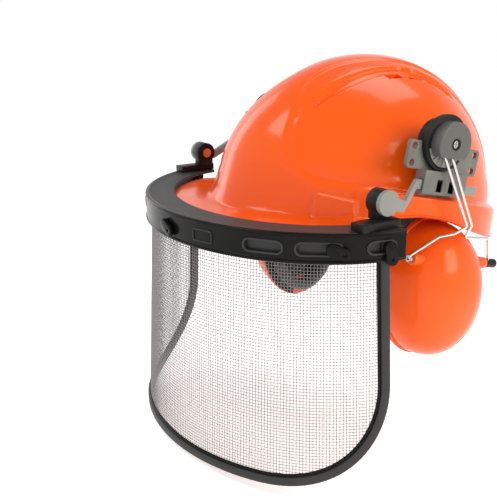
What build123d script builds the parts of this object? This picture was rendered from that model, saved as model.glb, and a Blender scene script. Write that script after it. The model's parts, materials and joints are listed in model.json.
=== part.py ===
from build123d import *
import math
import os

# Chainsaw safety helmet: a shell with a peak, an inner harness, a hinged mesh face guard and
# two ear muffs on side carriers. All sizes are in millimetres.
# Frame: X to the wearer's left, Y to the back, Z up. The origin is the middle of the headband.

os.makedirs("parts", exist_ok=True)

# ---- clearances ------------------------------------------------------------------------------
moving_gap = 0.4          # between faces that move past each other
bearing_gap = 0.05        # radial, between a pin and its bore
seat_gap = 0.3            # between pieces of one body that only lie near each other

# ---- shell -----------------------------------------------------------------------------------
crown_half_width = 105.0
crown_half_length = 126.5
crown_rise = 115.5        # from the crown's base plane to its top, outside
crown_y = 9.0             # middle of the crown, fore and aft
crown_base_z = -6.0
shell_wall = 2.5
ledge_z = 6.5             # top of the step where the skirt stands out from the crown
ledge_out = 6.0           # how far the skirt stands out at the sides
skirt_y = 12.0
skirt_half_length = 130.0
skirt_flare = 3.0
skirt_drop = 58.0         # depth of the skirt before its edge is trimmed
peak_half_width = 109.0
peak_reach = 98.0
peak_tail = 40.0
peak_centre = -8.0        # along the visor plane
peak_gap = 2.0            # between the guard's flange and the peak
pocket_width = 29.0
pocket_out = 6.0
pocket_height = 24.0
pocket_x = 73.0           # middle of the pocket's face at the crown
pocket_y = -73.0
pocket_top_z = -5.5
pocket_turn = 52.3        # degrees, from the side to the way the pocket's face runs
vent_length = 12.0
vent_width = 7.0
vent_pitch = 20.0
vent_x = 49.0             # middle of each row of vents
vent_y = 2.0
vent_z = 95.0
vent_cut = 40.0           # height of the cut, more than the wall it goes through

# ---- visor plane, pitched down to the front -----------------------------------------------------
visor_pitch = 12.5        # degrees
visor_origin_y = -51.3
visor_origin_z = -11.4

# ---- brow guard --------------------------------------------------------------------------------
guard_half_width = 140.7
guard_reach = 119.7
guard_centre = -3.15      # along the visor plane
guard_rear = -14.7        # where the guard's two ends are cut off
guard_wall = 2.6
guard_height = 20.5
flange_width = 24.0
flange_thick = 2.5
slot_height = 8.6
slot_stations = ((57, 45), (41, 27), (19, 9.5))      # degrees round the guard, front to rear end

# ---- visor -------------------------------------------------------------------------------------
rim_thick = 4.0
mesh_thick = 0.8
visor_drop = 168.0        # from the guard's lower edge to the rim's lower edge
visor_spread = 1.08       # the sheet is this much wider at its lower edge
visor_corner = 78.0
rim_width = 8.0
strip_gap = 1.0           # between the guard's flange and the strip behind its wall
post_inset = 9.5          # rear edge of the posts, ahead of the guard's ends
button_stations = (90, 30, 12)
button_width = 8.6
button_length = 17.0
button_thick = 3.2
stud_radius = 2.4
stud_head = 1.6           # how far a stud's head stands out round its shank
stud_head_thick = 1.5
dimple_radius = 1.2
button_tilt = 20.0        # how far the levers hang below level at rest
post_button_tilt = 80.0

# ---- visor hinge and arm ---------------------------------------------------------------------
hinge_y = -76.8
hinge_z = 0.1
hinge_disc_radius = 8.8
hinge_face_x = 130.5      # outer face of the arm's disc
arm_thick = 3.6
hub_thick = 10.0
hinge_pin_radius = 2.5
shoe_length = 33.0
shoe_height = 5.5
shoe_width = 13.0
serration_pitch = 1.6     # fine teeth across the shoe's top
serration_width = 0.7
serration_depth = 0.5
serration_length = 2.4
neck_width = 15.0
arm_bar_height = 7.0
arm_bar_z = 14.2
arm_tail_y = 26.0
arm_disc_web = 1.2        # left of the disc outside the pin's blind bore
arm_bend_start = 15.0     # behind the hinge, where the arm starts to rise
arm_bend_end = 29.0
arm_bar_start = 40.0
hinge_flange = 1.6        # the pin's inner head round its shank
hinge_flange_thick = 1.2

# ---- carrier -----------------------------------------------------------------------------------
carrier_y = -10.7
plate_x = 105.6           # inner face of the carrier
plate_thick = 3.0
hole_pitch_y = 63.0
hole_pitch_z = 12.0
hole_radius = 2.5
hole_row_z = 34.5         # middle of the two rows of holes
ear_margin = 4.6
body_width = 44.0
body_floor_z = 8.2
body_depth = 9.4          # thickness of the carrier's lower body
body_top_z = 25.0
channel_wall = 0.6        # between the plate's face and the arm's channel
ear_corner = 3.0
window_width = 6.0        # the two openings in the carrier's outer wall
window_height = 9.0
window_offsets = (-5.5, 7.0)
blade_thick = 2.4
blade_width = 32.0
blade_depth = 12.0        # depth of the shell's pocket for the blade
blade_wall = 2.0

# ---- muff pivot ----------------------------------------------------------------------------------
pivot_y = -16.0
pivot_z = 45.8
boss_radius = 17.0        # drum behind the carrier's plate, under the screw's end
boss_thick = 5.5
boss_seat = 4.0           # depth of the screw in the drum
plate_round_radius = 16.0 # the plate's round top, hidden by the disc
disc_radius = 19.0
disc_thick = 4.0
block_radius = 16.0
block_thick = 9.0
block_flat = 10.5         # from the pivot down to the block's flat
screw_radius = 2.0
screw_head_radius = 3.5
screw_head_thick = 2.2
screw_head_sink = 2.6     # from the block's face down to the head's seat
window_rim = 2.2          # between the disc's edge and its half-round window
flip_x = 117.5
flip_z = 38.0
flip_pin_radius = 1.2
barrel_radius = 2.8
barrel_length = 15.0

# ---- wires ------------------------------------------------------------------------------------
wire_radius = 1.1
wire_spacing = 4.0        # each wire's distance from the middle of the barrel
kink_x = 126.5
kink_y = 10.5
kink_z = -11.0
cup_axis_x = 105.0
cup_axis_y = 22.6
cup_axis_z = -42.0

# ---- ear cup -----------------------------------------------------------------------------------
cup_half_height = 55.5
cup_half_width = 42.5
cup_depth = 43.0
cup_wall = 2.4
cup_x = 85.0              # plane of the cup's rim
cup_y = 23.6
cup_z = -68.0
cup_lean = 12.5           # degrees, lower end to the back
ring_thick = 3.0
cushion_thick = 15.0
cushion_inset = 3.5       # from the cup's rim to the cushion's outer side
cushion_band = 17.0
foam_thick = 9.0
wire_end_radius = 2.6
grommet_radius = 3.6
grommet_length = 13.0
wire_bend = 2.6           # inside radius of the wires' bends

# ---- harness -----------------------------------------------------------------------------------
head_half_width = 77.0
head_front = 112.0        # headband's reach forward of the nape centre
nape_y = 15.0             # centre of the nape arc
band_wall = 1.8
band_floor_z = -12.0
band_height = 28.0
band_end_y = 42.0
band_rise = 4.0           # from the headband's lower edge up to a rack band's
nape_level = 50.0         # the rack bands run level this far behind the nape arc's centre
band_start = 12.0         # degrees round the nape arc where a rack band begins
tongue_z = 8.0
tongue_thick = 2.4
tongue_width = 14.0
key_slot_depth = 16.0     # more than the headband's wall, seen along a slanted key
clip_bite = 0.8           # how far a clip's key is pressed into the shell's wall
strap_width = 18.0
strap_thick = 1.2
strap_top_z = 78.0
strap_inset = 4.0         # from the headband's inside to a strap's end
strap_step = 2.6          # each crossing strap runs this much below the one above
pad_thick = 4.0
pad_height = 17.0
sweatband_end_y = -38.0
nape_z = -28.0
rack_wall = 1.4
rack_height = 16.0
rack_slot = 9.6           # height of the slot that the pinion runs in
tooth_rise = 1.4
tooth_width = 0.8
pinion_pitch_radius = 5.0
pinion_teeth = 10
housing_wall = 2.2
housing_span = 18.0       # degrees each side of the back
knob_radius = 18.0
knob_length = 14.0
knob_grips = 18           # finger grooves round the knob
grip_radius = 1.6
grip_depth = 1.0
shaft_seat = 6.0          # how far the shaft goes into the knob
knob_turn_tight = 150.0
knob_turn_loose = 60.0
shaft_radius = 2.5


# ---- planes and helpers ---------------------------------------------------------------------------
pitch = math.radians(visor_pitch)
visor_plane = Plane(
    origin=(0, visor_origin_y, visor_origin_z),
    x_dir=(1, 0, 0),
    z_dir=(0, -math.sin(pitch), math.cos(pitch)),
)
visor_side_plane = Plane(
    origin=visor_plane.origin,
    x_dir=(0, math.cos(pitch), math.sin(pitch)),
    z_dir=(1, 0, 0),
)


def guard_point(degrees, inset=0.0):
    """A point on the guard's plan, in the visor plane, and its outward normal."""
    angle = math.radians(degrees)
    x = guard_half_width * math.cos(angle)
    y = guard_centre - guard_reach * math.sin(angle)
    normal = Vector(math.cos(angle) / guard_half_width, -math.sin(angle) / guard_reach).normalized()
    return Vector(x, y) - normal * inset, normal


def guard_plane(degrees, height, inset=0.0, turn=0.0):
    """A plane square to the guard's wall: local x runs along the wall, turned about the outward z."""
    point, normal = guard_point(degrees, inset)
    origin = visor_plane.from_local_coords(Vector(point.X, point.Y, height))
    outward = visor_plane.from_local_coords(Vector(normal.X, normal.Y, 0)) - visor_plane.origin
    along = visor_plane.from_local_coords(Vector(-normal.Y, normal.X, 0)) - visor_plane.origin
    x_dir = along * math.cos(math.radians(turn)) + visor_plane.z_dir * math.sin(math.radians(turn))
    return Plane(origin=origin, x_dir=x_dir, z_dir=outward)


def reach(angle, half_x, half_y, centre_y):
    """Distance from the origin to an ellipse round (0, centre_y), in one direction of the plan."""
    c = math.cos(angle) / half_x
    s = math.sin(angle) / half_y
    offset = centre_y / half_y
    a = c * c + s * s
    b = s * offset
    return (b + math.sqrt(b * b - a * (offset * offset - 1))) / a


def head_reach(angle):
    """Distance from the origin to the inside of the headband."""
    half_y = head_front if math.sin(angle) * head_half_width < nape_y * 0.5 else head_half_width
    return reach(angle, head_half_width, half_y, nape_y)


def crown_reach(angle, z):
    """Distance from the origin to the inside of the crown at one height."""
    rise = (z - crown_base_z) / (crown_rise - shell_wall)
    share = math.sqrt(1 - rise * rise)
    half_x = (crown_half_width - shell_wall) * share
    half_y = (crown_half_length - shell_wall) * share
    return reach(angle, half_x, half_y, crown_y)


# ---- shell -----------------------------------------------------------------------------------
rim_profile = [
    (-175, -49),
    (-125, -38),
    (-80, -27),
    (-50, -18),
    (-36, -12.5),
    (-20, -9),
    (-4, -9),
    (10, -11),
    (27, -15),
    (60, -21),
    (100, -26),
    (165, -29),
]
far = 260.0
blade_x = plate_x + blade_thick / 2 + moving_gap

with BuildPart() as crown_outside:
    Sphere(1)
    scale(by=(crown_half_width, crown_half_length, crown_rise))
    split(bisect_by=Plane.XY, keep=Keep.TOP)

with BuildPart() as crown_inside:
    Sphere(1)
    scale(by=(crown_half_width - shell_wall, crown_half_length - shell_wall, crown_rise - shell_wall))
    split(bisect_by=Plane.XY, keep=Keep.TOP)

with BuildPart() as shell:
    with Locations((0, crown_y, crown_base_z)):
        add(crown_outside.part)
    # skirt, flaring outwards from the ledge
    skirt_top = Plane((0, skirt_y, ledge_z))
    with BuildSketch(skirt_top):
        Ellipse(crown_half_width + ledge_out, skirt_half_length)
    with BuildSketch(skirt_top.offset(-skirt_drop)):
        Ellipse(crown_half_width + ledge_out + skirt_flare, skirt_half_length + skirt_flare)
    loft()
    # accessory pocket on each side of the forehead
    for side in (1, -1):
        pocket_plane = Plane(
            origin=(side * pocket_x, pocket_y, pocket_top_z),
            x_dir=(side * math.cos(math.radians(pocket_turn)), math.sin(math.radians(pocket_turn)), 0),
            z_dir=(0, 0, -1),
        )
        with BuildSketch(pocket_plane):
            Rectangle(pocket_width, 2 * (pocket_out + 2))
        extrude(amount=pocket_height)
    # pocket on each side that takes a carrier's blade
    with BuildSketch(Plane.XY.offset(ledge_z)):
        with Locations((blade_x, carrier_y), (-blade_x, carrier_y)):
            Rectangle(blade_thick + 2 * blade_wall, blade_width + 2 * blade_wall)
    extrude(amount=-blade_depth)
    # peak, parallel to the visor plane and just below the guard's flange
    with BuildSketch(visor_plane.offset(-flange_thick - peak_gap)):
        with BuildLine():
            EllipticalCenterArc((0, peak_centre), peak_half_width, peak_reach, 180, arc_size=180)
            EllipticalCenterArc((0, peak_centre), peak_half_width, peak_tail, 0, arc_size=180)
        make_face()
    extrude(amount=-shell_wall)
    # hollow
    with Locations((0, crown_y, crown_base_z)):
        add(crown_inside.part, mode=Mode.SUBTRACT)
    with BuildSketch(skirt_top.offset(-shell_wall)):
        Ellipse(crown_half_width + ledge_out - shell_wall, skirt_half_length - shell_wall)
    with BuildSketch(skirt_top.offset(-skirt_drop - 1)):
        Ellipse(
            crown_half_width + ledge_out + skirt_flare - shell_wall,
            skirt_half_length + skirt_flare - shell_wall,
        )
    loft(mode=Mode.SUBTRACT)
    # lower edge, arched over the ears and dropping to the nape and the peak
    with BuildSketch(Plane.YZ):
        with BuildLine():
            rim_line = Spline(*rim_profile)
            Polyline(rim_line @ 1, (far, far), (-far, far), rim_line @ 0)
        make_face()
    extrude(amount=far, both=True, mode=Mode.INTERSECT)
    # vents, three in each of the two crown channels
    with Locations(Plane.XY.offset(vent_z)):
        with GridLocations(2 * vent_x, vent_pitch, 2, 3):
            with Locations((0, vent_y)):
                Box(vent_width, vent_length, vent_cut, mode=Mode.SUBTRACT)
    with BuildSketch(Plane.XY.offset(ledge_z + 1)):
        with Locations((blade_x, carrier_y), (-blade_x, carrier_y)):
            Rectangle(blade_thick + 2 * moving_gap, blade_width + 2 * moving_gap)
    extrude(amount=-(blade_depth + 2), mode=Mode.SUBTRACT)

# ---- harness -----------------------------------------------------------------------------------
def head_outline(grow):
    """Plan of the head: a half ellipse in front and a half circle at the nape."""
    with BuildLine() as outline:
        EllipticalCenterArc((0, nape_y), head_half_width + grow, head_front + grow, 180, arc_size=180)
        EllipticalCenterArc((0, nape_y), head_half_width + grow, head_half_width + grow, 0, arc_size=180)
    make_face(outline.edges())


strap_directions = {"lengthwise": -90.0, "left": -35.0, "right": -145.0}
tongue_directions = [angle for start in strap_directions.values() for angle in (start, start + 180)]

with BuildPart() as headband:
    with BuildSketch(Plane.XY.offset(band_floor_z)):
        head_outline(band_wall)
    extrude(amount=band_height)
    with BuildSketch(Plane.XY.offset(band_floor_z)):
        head_outline(0)
    extrude(amount=band_height, mode=Mode.SUBTRACT)
    with BuildSketch(Plane.XZ.offset(-band_end_y)):
        Rectangle(2 * far, 2 * far)
    extrude(amount=-far, mode=Mode.SUBTRACT)
    for direction in tongue_directions:
        angle = math.radians(direction)
        if math.sin(angle) * head_half_width < band_end_y - nape_y:
            with Locations(Location((0, 0, tongue_z + tongue_thick / 2), (0, 0, direction))):
                with Locations((head_reach(angle), 0)):
                    Box(key_slot_depth, tongue_width + 2 * seat_gap, tongue_thick + 2 * seat_gap, mode=Mode.SUBTRACT)

with BuildPart() as sweatband:
    with BuildSketch(Plane.XY.offset(band_floor_z + 1)):
        head_outline(-seat_gap)
    extrude(amount=pad_height)
    with BuildSketch(Plane.XY.offset(band_floor_z + 1)):
        head_outline(-seat_gap - pad_thick)
    extrude(amount=pad_height, mode=Mode.SUBTRACT)
    with BuildSketch(Plane.XZ.offset(-sweatband_end_y)):
        Rectangle(2 * far, 2 * far)
    extrude(amount=-2 * far, mode=Mode.SUBTRACT)

with BuildPart() as harness_clips:
    for direction in tongue_directions:
        angle = math.radians(direction)
        inner = head_reach(angle) - strap_inset - strap_thick - 2
        outer = crown_reach(angle, tongue_z) + clip_bite
        with Locations(Location((0, 0, tongue_z + tongue_thick / 2), (0, 0, direction))):
            with Locations(((inner + outer) / 2, 0)):
                Box(outer - inner, tongue_width, tongue_thick)

crown_straps = {}
for level, (strap_name, direction) in enumerate(strap_directions.items()):
    near = head_reach(math.radians(direction)) - strap_inset
    away = head_reach(math.radians(direction + 180)) - strap_inset
    half_span = (near + away) / 2
    middle = (near - away) / 2
    height = strap_top_z - (tongue_z + tongue_thick) - level * strap_step
    turn = math.radians(direction)
    arch_plane = Plane(
        origin=(0, 0, tongue_z + tongue_thick),
        x_dir=(math.cos(turn), math.sin(turn), 0),
        z_dir=(math.sin(turn), -math.cos(turn), 0),
    )
    with BuildPart() as strap:
        with BuildSketch(arch_plane):
            with BuildLine():
                outer_arc = EllipticalCenterArc((middle, 0), half_span, height, 0, arc_size=180)
                inner_arc = EllipticalCenterArc(
                    (middle, 0), half_span - strap_thick, height - strap_thick, 0, arc_size=180
                )
                Line(outer_arc @ 0, inner_arc @ 0)
                Line(outer_arc @ 1, inner_arc @ 1)
            make_face()
        extrude(amount=strap_width / 2, both=True)
    crown_straps["crown_strap_" + strap_name] = strap

# ---- nape adjuster -------------------------------------------------------------------------------
nape_centre = Plane((0, nape_y, nape_z))
inner_rack_radius = head_half_width - band_wall - moving_gap - rack_wall
outer_rack_radius = inner_rack_radius + rack_wall + moving_gap
pinion_tip = pinion_pitch_radius - moving_gap


def sector(radius, thick, start, end):
    """An arc of band in plan, between two angles in degrees."""
    with BuildLine() as outline:
        outer_arc = CenterArc((0, 0), radius + thick, start, end - start)
        inner_arc = CenterArc((0, 0), radius, start, end - start)
        Line(outer_arc @ 0, inner_arc @ 0)
        Line(outer_arc @ 1, inner_arc @ 1)
    make_face(outline.edges())


rack_bands = {}
for side, radius, teeth_up in (("left", inner_rack_radius, 1), ("right", outer_rack_radius, -1)):
    mirrored = 1 if side == "left" else -1
    turn_ratio = pinion_pitch_radius / (radius + rack_wall / 2)
    tooth_pitch = 360.0 * turn_ratio / pinion_teeth
    pinion_span = math.degrees((pinion_tip + 1.2) / radius)
    slot_end = 90 + knob_turn_loose * turn_ratio + pinion_span
    slot_start = 90 - knob_turn_tight * turn_ratio - pinion_span

    def station(degrees):
        return degrees if mirrored == 1 else 180 - degrees

    with BuildPart() as band:
        with BuildSketch(Plane((0, nape_y, nape_z - 12))):
            sector(radius, rack_wall, *sorted((station(band_start), station(slot_end + 4))))
        extrude(amount=60)
        # the band runs level across the nape and rises to the headband at the side
        with BuildSketch(Plane.YZ):
            with BuildLine():
                level_y = nape_y + nape_level
                low = nape_z - rack_height / 2
                top = nape_z + rack_height / 2
                lift = band_floor_z + band_rise - low
                Polyline(
                    (far, low), (level_y, low), (band_end_y - 6, low + lift), (0, low + lift),
                    (0, top + lift), (band_end_y - 6, top + lift), (level_y, top), (far, top), (far, low),
                )
            make_face()
        extrude(amount=far, both=True, mode=Mode.INTERSECT)
        # slot with a row of teeth along one edge
        with BuildSketch(nape_centre.offset(-rack_slot / 2)):
            sector(radius - 1, rack_wall + 2, *sorted((station(slot_start), station(slot_end))))
        extrude(amount=rack_slot, mode=Mode.SUBTRACT)
        tooth_z = nape_z + teeth_up * (rack_slot / 2 - tooth_rise / 2)
        count_low = math.ceil((slot_start - 90) / tooth_pitch + 0.2)
        count_high = math.floor((slot_end - 90) / tooth_pitch - 0.2)
        for count in range(count_low, count_high + 1):
            turn = station(90 + count * tooth_pitch)
            with Locations(Location((0, nape_y, tooth_z), (0, 0, turn))):
                with Locations((radius + rack_wall / 2, 0)):
                    Box(rack_wall - 0.2, tooth_width, tooth_rise)
    rack_bands["rack_band_" + side] = band

housing_radius = outer_rack_radius + rack_wall + moving_gap
cover_radius = inner_rack_radius - moving_gap - housing_wall
housing_low = nape_z - rack_height / 2 - moving_gap - housing_wall
housing_tall = rack_height + 2 * (moving_gap + housing_wall)
knob_face = nape_y + housing_radius + housing_wall + moving_gap
back_plane = Plane(origin=(0, 0, nape_z), x_dir=(-1, 0, 0), z_dir=(0, 1, 0))

with BuildPart() as ratchet_housing:
    with BuildSketch(Plane((0, nape_y, housing_low))):
        sector(cover_radius + housing_wall, housing_radius - cover_radius, 90 - housing_span, 90 + housing_span)
    extrude(amount=housing_tall)
    with BuildSketch(Plane((0, nape_y, housing_low + housing_wall))):
        sector(
            cover_radius + housing_wall - 1, housing_radius - cover_radius - housing_wall + 1,
            90 - housing_span - 1, 90 + housing_span + 1,
        )
    extrude(amount=housing_tall - 2 * housing_wall, mode=Mode.SUBTRACT)
    with BuildSketch(back_plane.offset(knob_face - 30)):
        Circle(shaft_radius + bearing_gap)
    extrude(amount=40, mode=Mode.SUBTRACT)

with BuildPart() as ratchet_cover:
    with BuildSketch(Plane((0, nape_y, housing_low))):
        sector(cover_radius, housing_wall, 90 - housing_span, 90 + housing_span)
    extrude(amount=housing_tall)
    with BuildSketch(back_plane.offset(nape_y + cover_radius - 10)):
        Circle(shaft_radius + bearing_gap)
    extrude(amount=20, mode=Mode.SUBTRACT)

with BuildPart() as ratchet_pinion:
    with BuildSketch(back_plane.offset(nape_y + cover_radius)):
        Circle(shaft_radius)
    extrude(amount=knob_face - nape_y - cover_radius + shaft_seat)
    gear_start = nape_y + cover_radius + housing_wall + 0.2
    gear_long = housing_radius - cover_radius - housing_wall - 0.7
    with BuildSketch(back_plane.offset(gear_start)):
        Circle(pinion_tip - tooth_rise)
        with PolarLocations(pinion_tip - tooth_rise / 2 - 0.2, pinion_teeth):
            Rectangle(tooth_rise + 0.4, tooth_width)
    extrude(amount=gear_long)

with BuildPart() as adjuster_knob:
    with BuildSketch(back_plane.offset(knob_face)):
        Circle(knob_radius)
    extrude(amount=knob_length)
    chamfer(adjuster_knob.faces().sort_by(Axis.Y)[-1].edges(), 2)
    with BuildSketch(back_plane.offset(knob_face)):
        with PolarLocations(knob_radius + grip_radius - grip_depth, knob_grips):
            Circle(grip_radius)
    extrude(amount=knob_length, mode=Mode.SUBTRACT)
    with BuildSketch(back_plane.offset(knob_face)):
        Circle(shaft_radius)
    extrude(amount=shaft_seat, mode=Mode.SUBTRACT)

with BuildPart() as nape_pad:
    with BuildSketch(Plane((0, nape_y, nape_z - rack_height / 2))):
        sector(cover_radius - seat_gap - pad_thick, pad_thick, 90 - housing_span - 6, 90 + housing_span + 6)
    extrude(amount=rack_height)

# ---- carrier (left) ------------------------------------------------------------------------------
side_plane = Plane(origin=(0, 0, 0), x_dir=(0, 1, 0), z_dir=(1, 0, 0))
plate_face = plate_x + plate_thick
body_face = plate_x + body_depth
channel_x = plate_face + channel_wall
bar_x = channel_x + moving_gap
pivot_bore = screw_radius + bearing_gap
ear_length = hole_pitch_y + 2 * (hole_radius + ear_margin - 2)
ear_height = hole_pitch_z + 2 * (hole_radius + 1.6)

with BuildPart() as carrier_left:
    with BuildSketch(side_plane.offset(plate_x)):
        with Locations((carrier_y, hole_row_z)):
            RectangleRounded(ear_length, ear_height, ear_corner)
        with Locations((carrier_y, (hole_row_z + body_floor_z) / 2)):
            Rectangle(body_width, hole_row_z - body_floor_z)
        with Locations((pivot_y, pivot_z)):
            Circle(plate_round_radius)
        with Locations((carrier_y, hole_row_z)):
            with GridLocations(hole_pitch_y, hole_pitch_z, 2, 2):
                Circle(hole_radius, mode=Mode.SUBTRACT)
    extrude(amount=plate_thick)
    with BuildSketch(side_plane.offset(plate_x)):
        with Locations((carrier_y, (body_top_z + body_floor_z) / 2)):
            Rectangle(body_width, body_top_z - body_floor_z)
    extrude(amount=body_depth)
    # channel for the visor arm's bar, open at both ends
    with BuildSketch(side_plane.offset(channel_x)):
        with Locations((carrier_y, arm_bar_z)):
            Rectangle(body_width + 2, arm_bar_height + 2 * moving_gap)
    extrude(amount=arm_thick + 2 * moving_gap, mode=Mode.SUBTRACT)
    # two windows in the outer wall
    with BuildSketch(side_plane.offset(body_face + 1)):
        with Locations(*[(carrier_y + offset, arm_bar_z + 0.5) for offset in window_offsets]):
            Rectangle(window_width, window_height)
    extrude(amount=-4, mode=Mode.SUBTRACT)
    # blade that drops into the shell's ledge
    with BuildSketch(Plane.XY.offset(body_floor_z)):
        with Locations((blade_x, carrier_y)):
            Rectangle(blade_thick, blade_width)
    extrude(amount=-blade_depth)
    with BuildSketch(side_plane.offset(plate_x)):
        with Locations((pivot_y, pivot_z)):
            Circle(screw_radius)
    extrude(amount=plate_thick, mode=Mode.SUBTRACT)

boss_face = plate_x - seat_gap

with BuildPart() as pivot_boss_left:
    with BuildSketch(side_plane.offset(boss_face)):
        with Locations((pivot_y, pivot_z)):
            Circle(boss_radius)
    extrude(amount=-boss_thick)
    fillet(pivot_boss_left.faces().sort_by(Axis.X)[0].edges(), 1)
    with BuildSketch(side_plane.offset(boss_face)):
        with Locations((pivot_y, pivot_z)):
            Circle(screw_radius)
    extrude(amount=-boss_seat, mode=Mode.SUBTRACT)

with BuildPart() as pivot_screw_left:
    block_face = plate_face + moving_gap + disc_thick + block_thick
    with BuildSketch(side_plane.offset(boss_face - boss_seat)):
        with Locations((pivot_y, pivot_z)):
            Circle(screw_radius)
    extrude(amount=block_face - screw_head_sink - boss_face + boss_seat)
    with BuildSketch(side_plane.offset(block_face - screw_head_sink)):
        with Locations((pivot_y, pivot_z)):
            Circle(screw_head_radius)
    extrude(amount=screw_head_thick)

# ---- muff pivot (left) -----------------------------------------------------------------------------
disc_start = plate_face + moving_gap
block_start = disc_start + disc_thick
flip_plane = Plane(origin=(flip_x, pivot_y, flip_z), x_dir=(1, 0, 0), z_dir=(0, 1, 0))

with BuildPart() as pivot_disc_left:
    with BuildSketch(side_plane.offset(disc_start)):
        with Locations((pivot_y, pivot_z)):
            Circle(disc_radius)
            Circle(pivot_bore, mode=Mode.SUBTRACT)
    extrude(amount=disc_thick)
    # half-round window under the pivot
    with BuildSketch(side_plane.offset(disc_start)):
        with BuildLine():
            window = CenterArc((pivot_y, pivot_z), disc_radius - window_rim, 200, 140)
            Line(window @ 0, window @ 1)
        make_face()
    extrude(amount=disc_thick, mode=Mode.SUBTRACT)

with BuildPart() as pivot_block_left:
    with BuildSketch(side_plane.offset(block_start)):
        with Locations((pivot_y, pivot_z)):
            Circle(block_radius)
        with Locations((pivot_y, pivot_z - block_flat - block_radius)):
            Rectangle(4 * block_radius, 2 * block_radius, mode=Mode.SUBTRACT)
    extrude(amount=block_thick)
    fillet(pivot_block_left.faces().sort_by(Axis.X)[-1].edges(), 1.2)
    with BuildSketch(side_plane.offset(block_start)):
        with Locations((pivot_y, pivot_z)):
            Circle(pivot_bore)
    extrude(amount=block_thick, mode=Mode.SUBTRACT)
    with BuildSketch(side_plane.offset(block_face - screw_head_sink - moving_gap)):
        with Locations((pivot_y, pivot_z)):
            Circle(screw_head_radius + moving_gap)
    extrude(amount=screw_head_sink + moving_gap, mode=Mode.SUBTRACT)
    # cavity for the wires' barrel, open at the flat
    cavity_length = barrel_length + 2 * moving_gap
    cavity_top = flip_z + barrel_radius + moving_gap
    with BuildSketch(Plane.XY.offset(cavity_top)):
        with Locations((flip_x, pivot_y)):
            Rectangle(2 * (barrel_radius + moving_gap), cavity_length)
    extrude(amount=-20, mode=Mode.SUBTRACT)
    with BuildSketch(flip_plane):
        Circle(flip_pin_radius)
    extrude(amount=cavity_length / 2 + 2, both=True, mode=Mode.SUBTRACT)

with BuildPart() as flip_pin_left:
    with BuildSketch(flip_plane):
        Circle(flip_pin_radius)
    extrude(amount=cavity_length / 2 + 2, both=True)

with BuildPart() as wire_barrel_left:
    with BuildSketch(flip_plane):
        Circle(barrel_radius)
        Circle(flip_pin_radius + bearing_gap, mode=Mode.SUBTRACT)
    extrude(amount=barrel_length / 2, both=True)

# ---- wires (left) --------------------------------------------------------------------------------
lean = math.radians(cup_lean)
wire_start_z = flip_z - barrel_radius + 0.6
cup_side = cup_half_width + 4.5      # from the cup's middle to where a wire turns in
wire_tip = cup_half_width - 1.0
front_route = [
    (flip_x, pivot_y - wire_spacing, wire_start_z),
    (kink_x, kink_y - 1.5, kink_z),
    (kink_x - 6, kink_y - 6, kink_z - 7),
    (kink_x - 11, cup_axis_y - 28, cup_axis_z + 20),
    (cup_axis_x, cup_axis_y - cup_side, cup_axis_z),
    (cup_axis_x, cup_axis_y - wire_tip + 4, cup_axis_z),
]
rear_route = [
    (flip_x, pivot_y + wire_spacing, wire_start_z),
    (kink_x + 0.5, kink_y + 2.5, kink_z + 1),
    (kink_x - 4.5, kink_y + 4, kink_z - 9),
    (kink_x - 9, cup_axis_y + 24, cup_axis_z + 22),
    (cup_axis_x, cup_axis_y + cup_side, cup_axis_z),
    (cup_axis_x, cup_axis_y + wire_tip - 4, cup_axis_z),
]


def bent_wire(route):
    """A round wire along straight runs joined by arcs."""
    with BuildLine() as path:
        FilletPolyline(*route, radius=wire_bend)
    with BuildSketch(Plane(origin=path.line @ 0, z_dir=path.line % 0)) as section:
        Circle(wire_radius)
    sweep(section.sketch, path=path.line)


with BuildPart() as wire_front_left:
    bent_wire(front_route)

with BuildPart() as wire_rear_left:
    bent_wire(rear_route)

fore_plane = Plane(origin=(cup_axis_x, cup_axis_y, cup_axis_z), x_dir=(1, 0, 0), z_dir=(0, 1, 0))

with BuildPart() as wire_knob_left:
    with BuildSketch(fore_plane.offset(-cup_side + 2.8)):
        Circle(wire_end_radius)
        Circle(wire_radius, mode=Mode.SUBTRACT)
    extrude(amount=3)

with BuildPart() as wire_grommet_left:
    with BuildSketch(fore_plane.offset(cup_side - 6)):
        Circle(grommet_radius)
    extrude(amount=grommet_length)
    fillet(wire_grommet_left.faces().sort_by(Axis.Y)[-1].edges(), 1)

# ---- ear cup (left) --------------------------------------------------------------------------------
cup_plane = Plane(
    origin=(cup_x, cup_y, cup_z),
    x_dir=(0, -math.sin(lean), math.cos(lean)),
    z_dir=(1, 0, 0),
)
cup_steps = ((0.0, 1.0), (0.28, 0.975), (0.55, 0.88), (0.78, 0.70), (0.92, 0.47), (0.99, 0.22))


def cup_form(inset):
    """The cup's dome, lofted through ovals that shrink outwards."""
    ovals = []
    for share, size in cup_steps:
        rise = share * (cup_depth - inset)
        with BuildSketch(cup_plane.offset(rise)) as oval:
            Ellipse((cup_half_height - inset) * size, (cup_half_width - inset) * size)
        ovals.append(oval.sketch)
    loft(ovals)


with BuildPart() as cup_hollow:
    cup_form(cup_wall)

with BuildPart() as ear_cup_left:
    cup_form(0)
    # bosses that take the ends of the wires
    with BuildSketch(fore_plane):
        Circle(wire_end_radius + 2.2)
    extrude(amount=cup_half_width - 1.5, both=True)
    add(cup_hollow.part, mode=Mode.SUBTRACT)
    with BuildSketch(fore_plane):
        Circle(wire_radius + bearing_gap)
    extrude(amount=cup_half_width + 10, both=True, mode=Mode.SUBTRACT)

with BuildPart() as cup_ring_left:
    with BuildSketch(cup_plane.offset(-ring_thick)):
        Ellipse(cup_half_height + 1.2, cup_half_width + 1.2)
        Ellipse(cup_half_height - cushion_band, cup_half_width - cushion_band, mode=Mode.SUBTRACT)
    extrude(amount=ring_thick)

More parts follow.
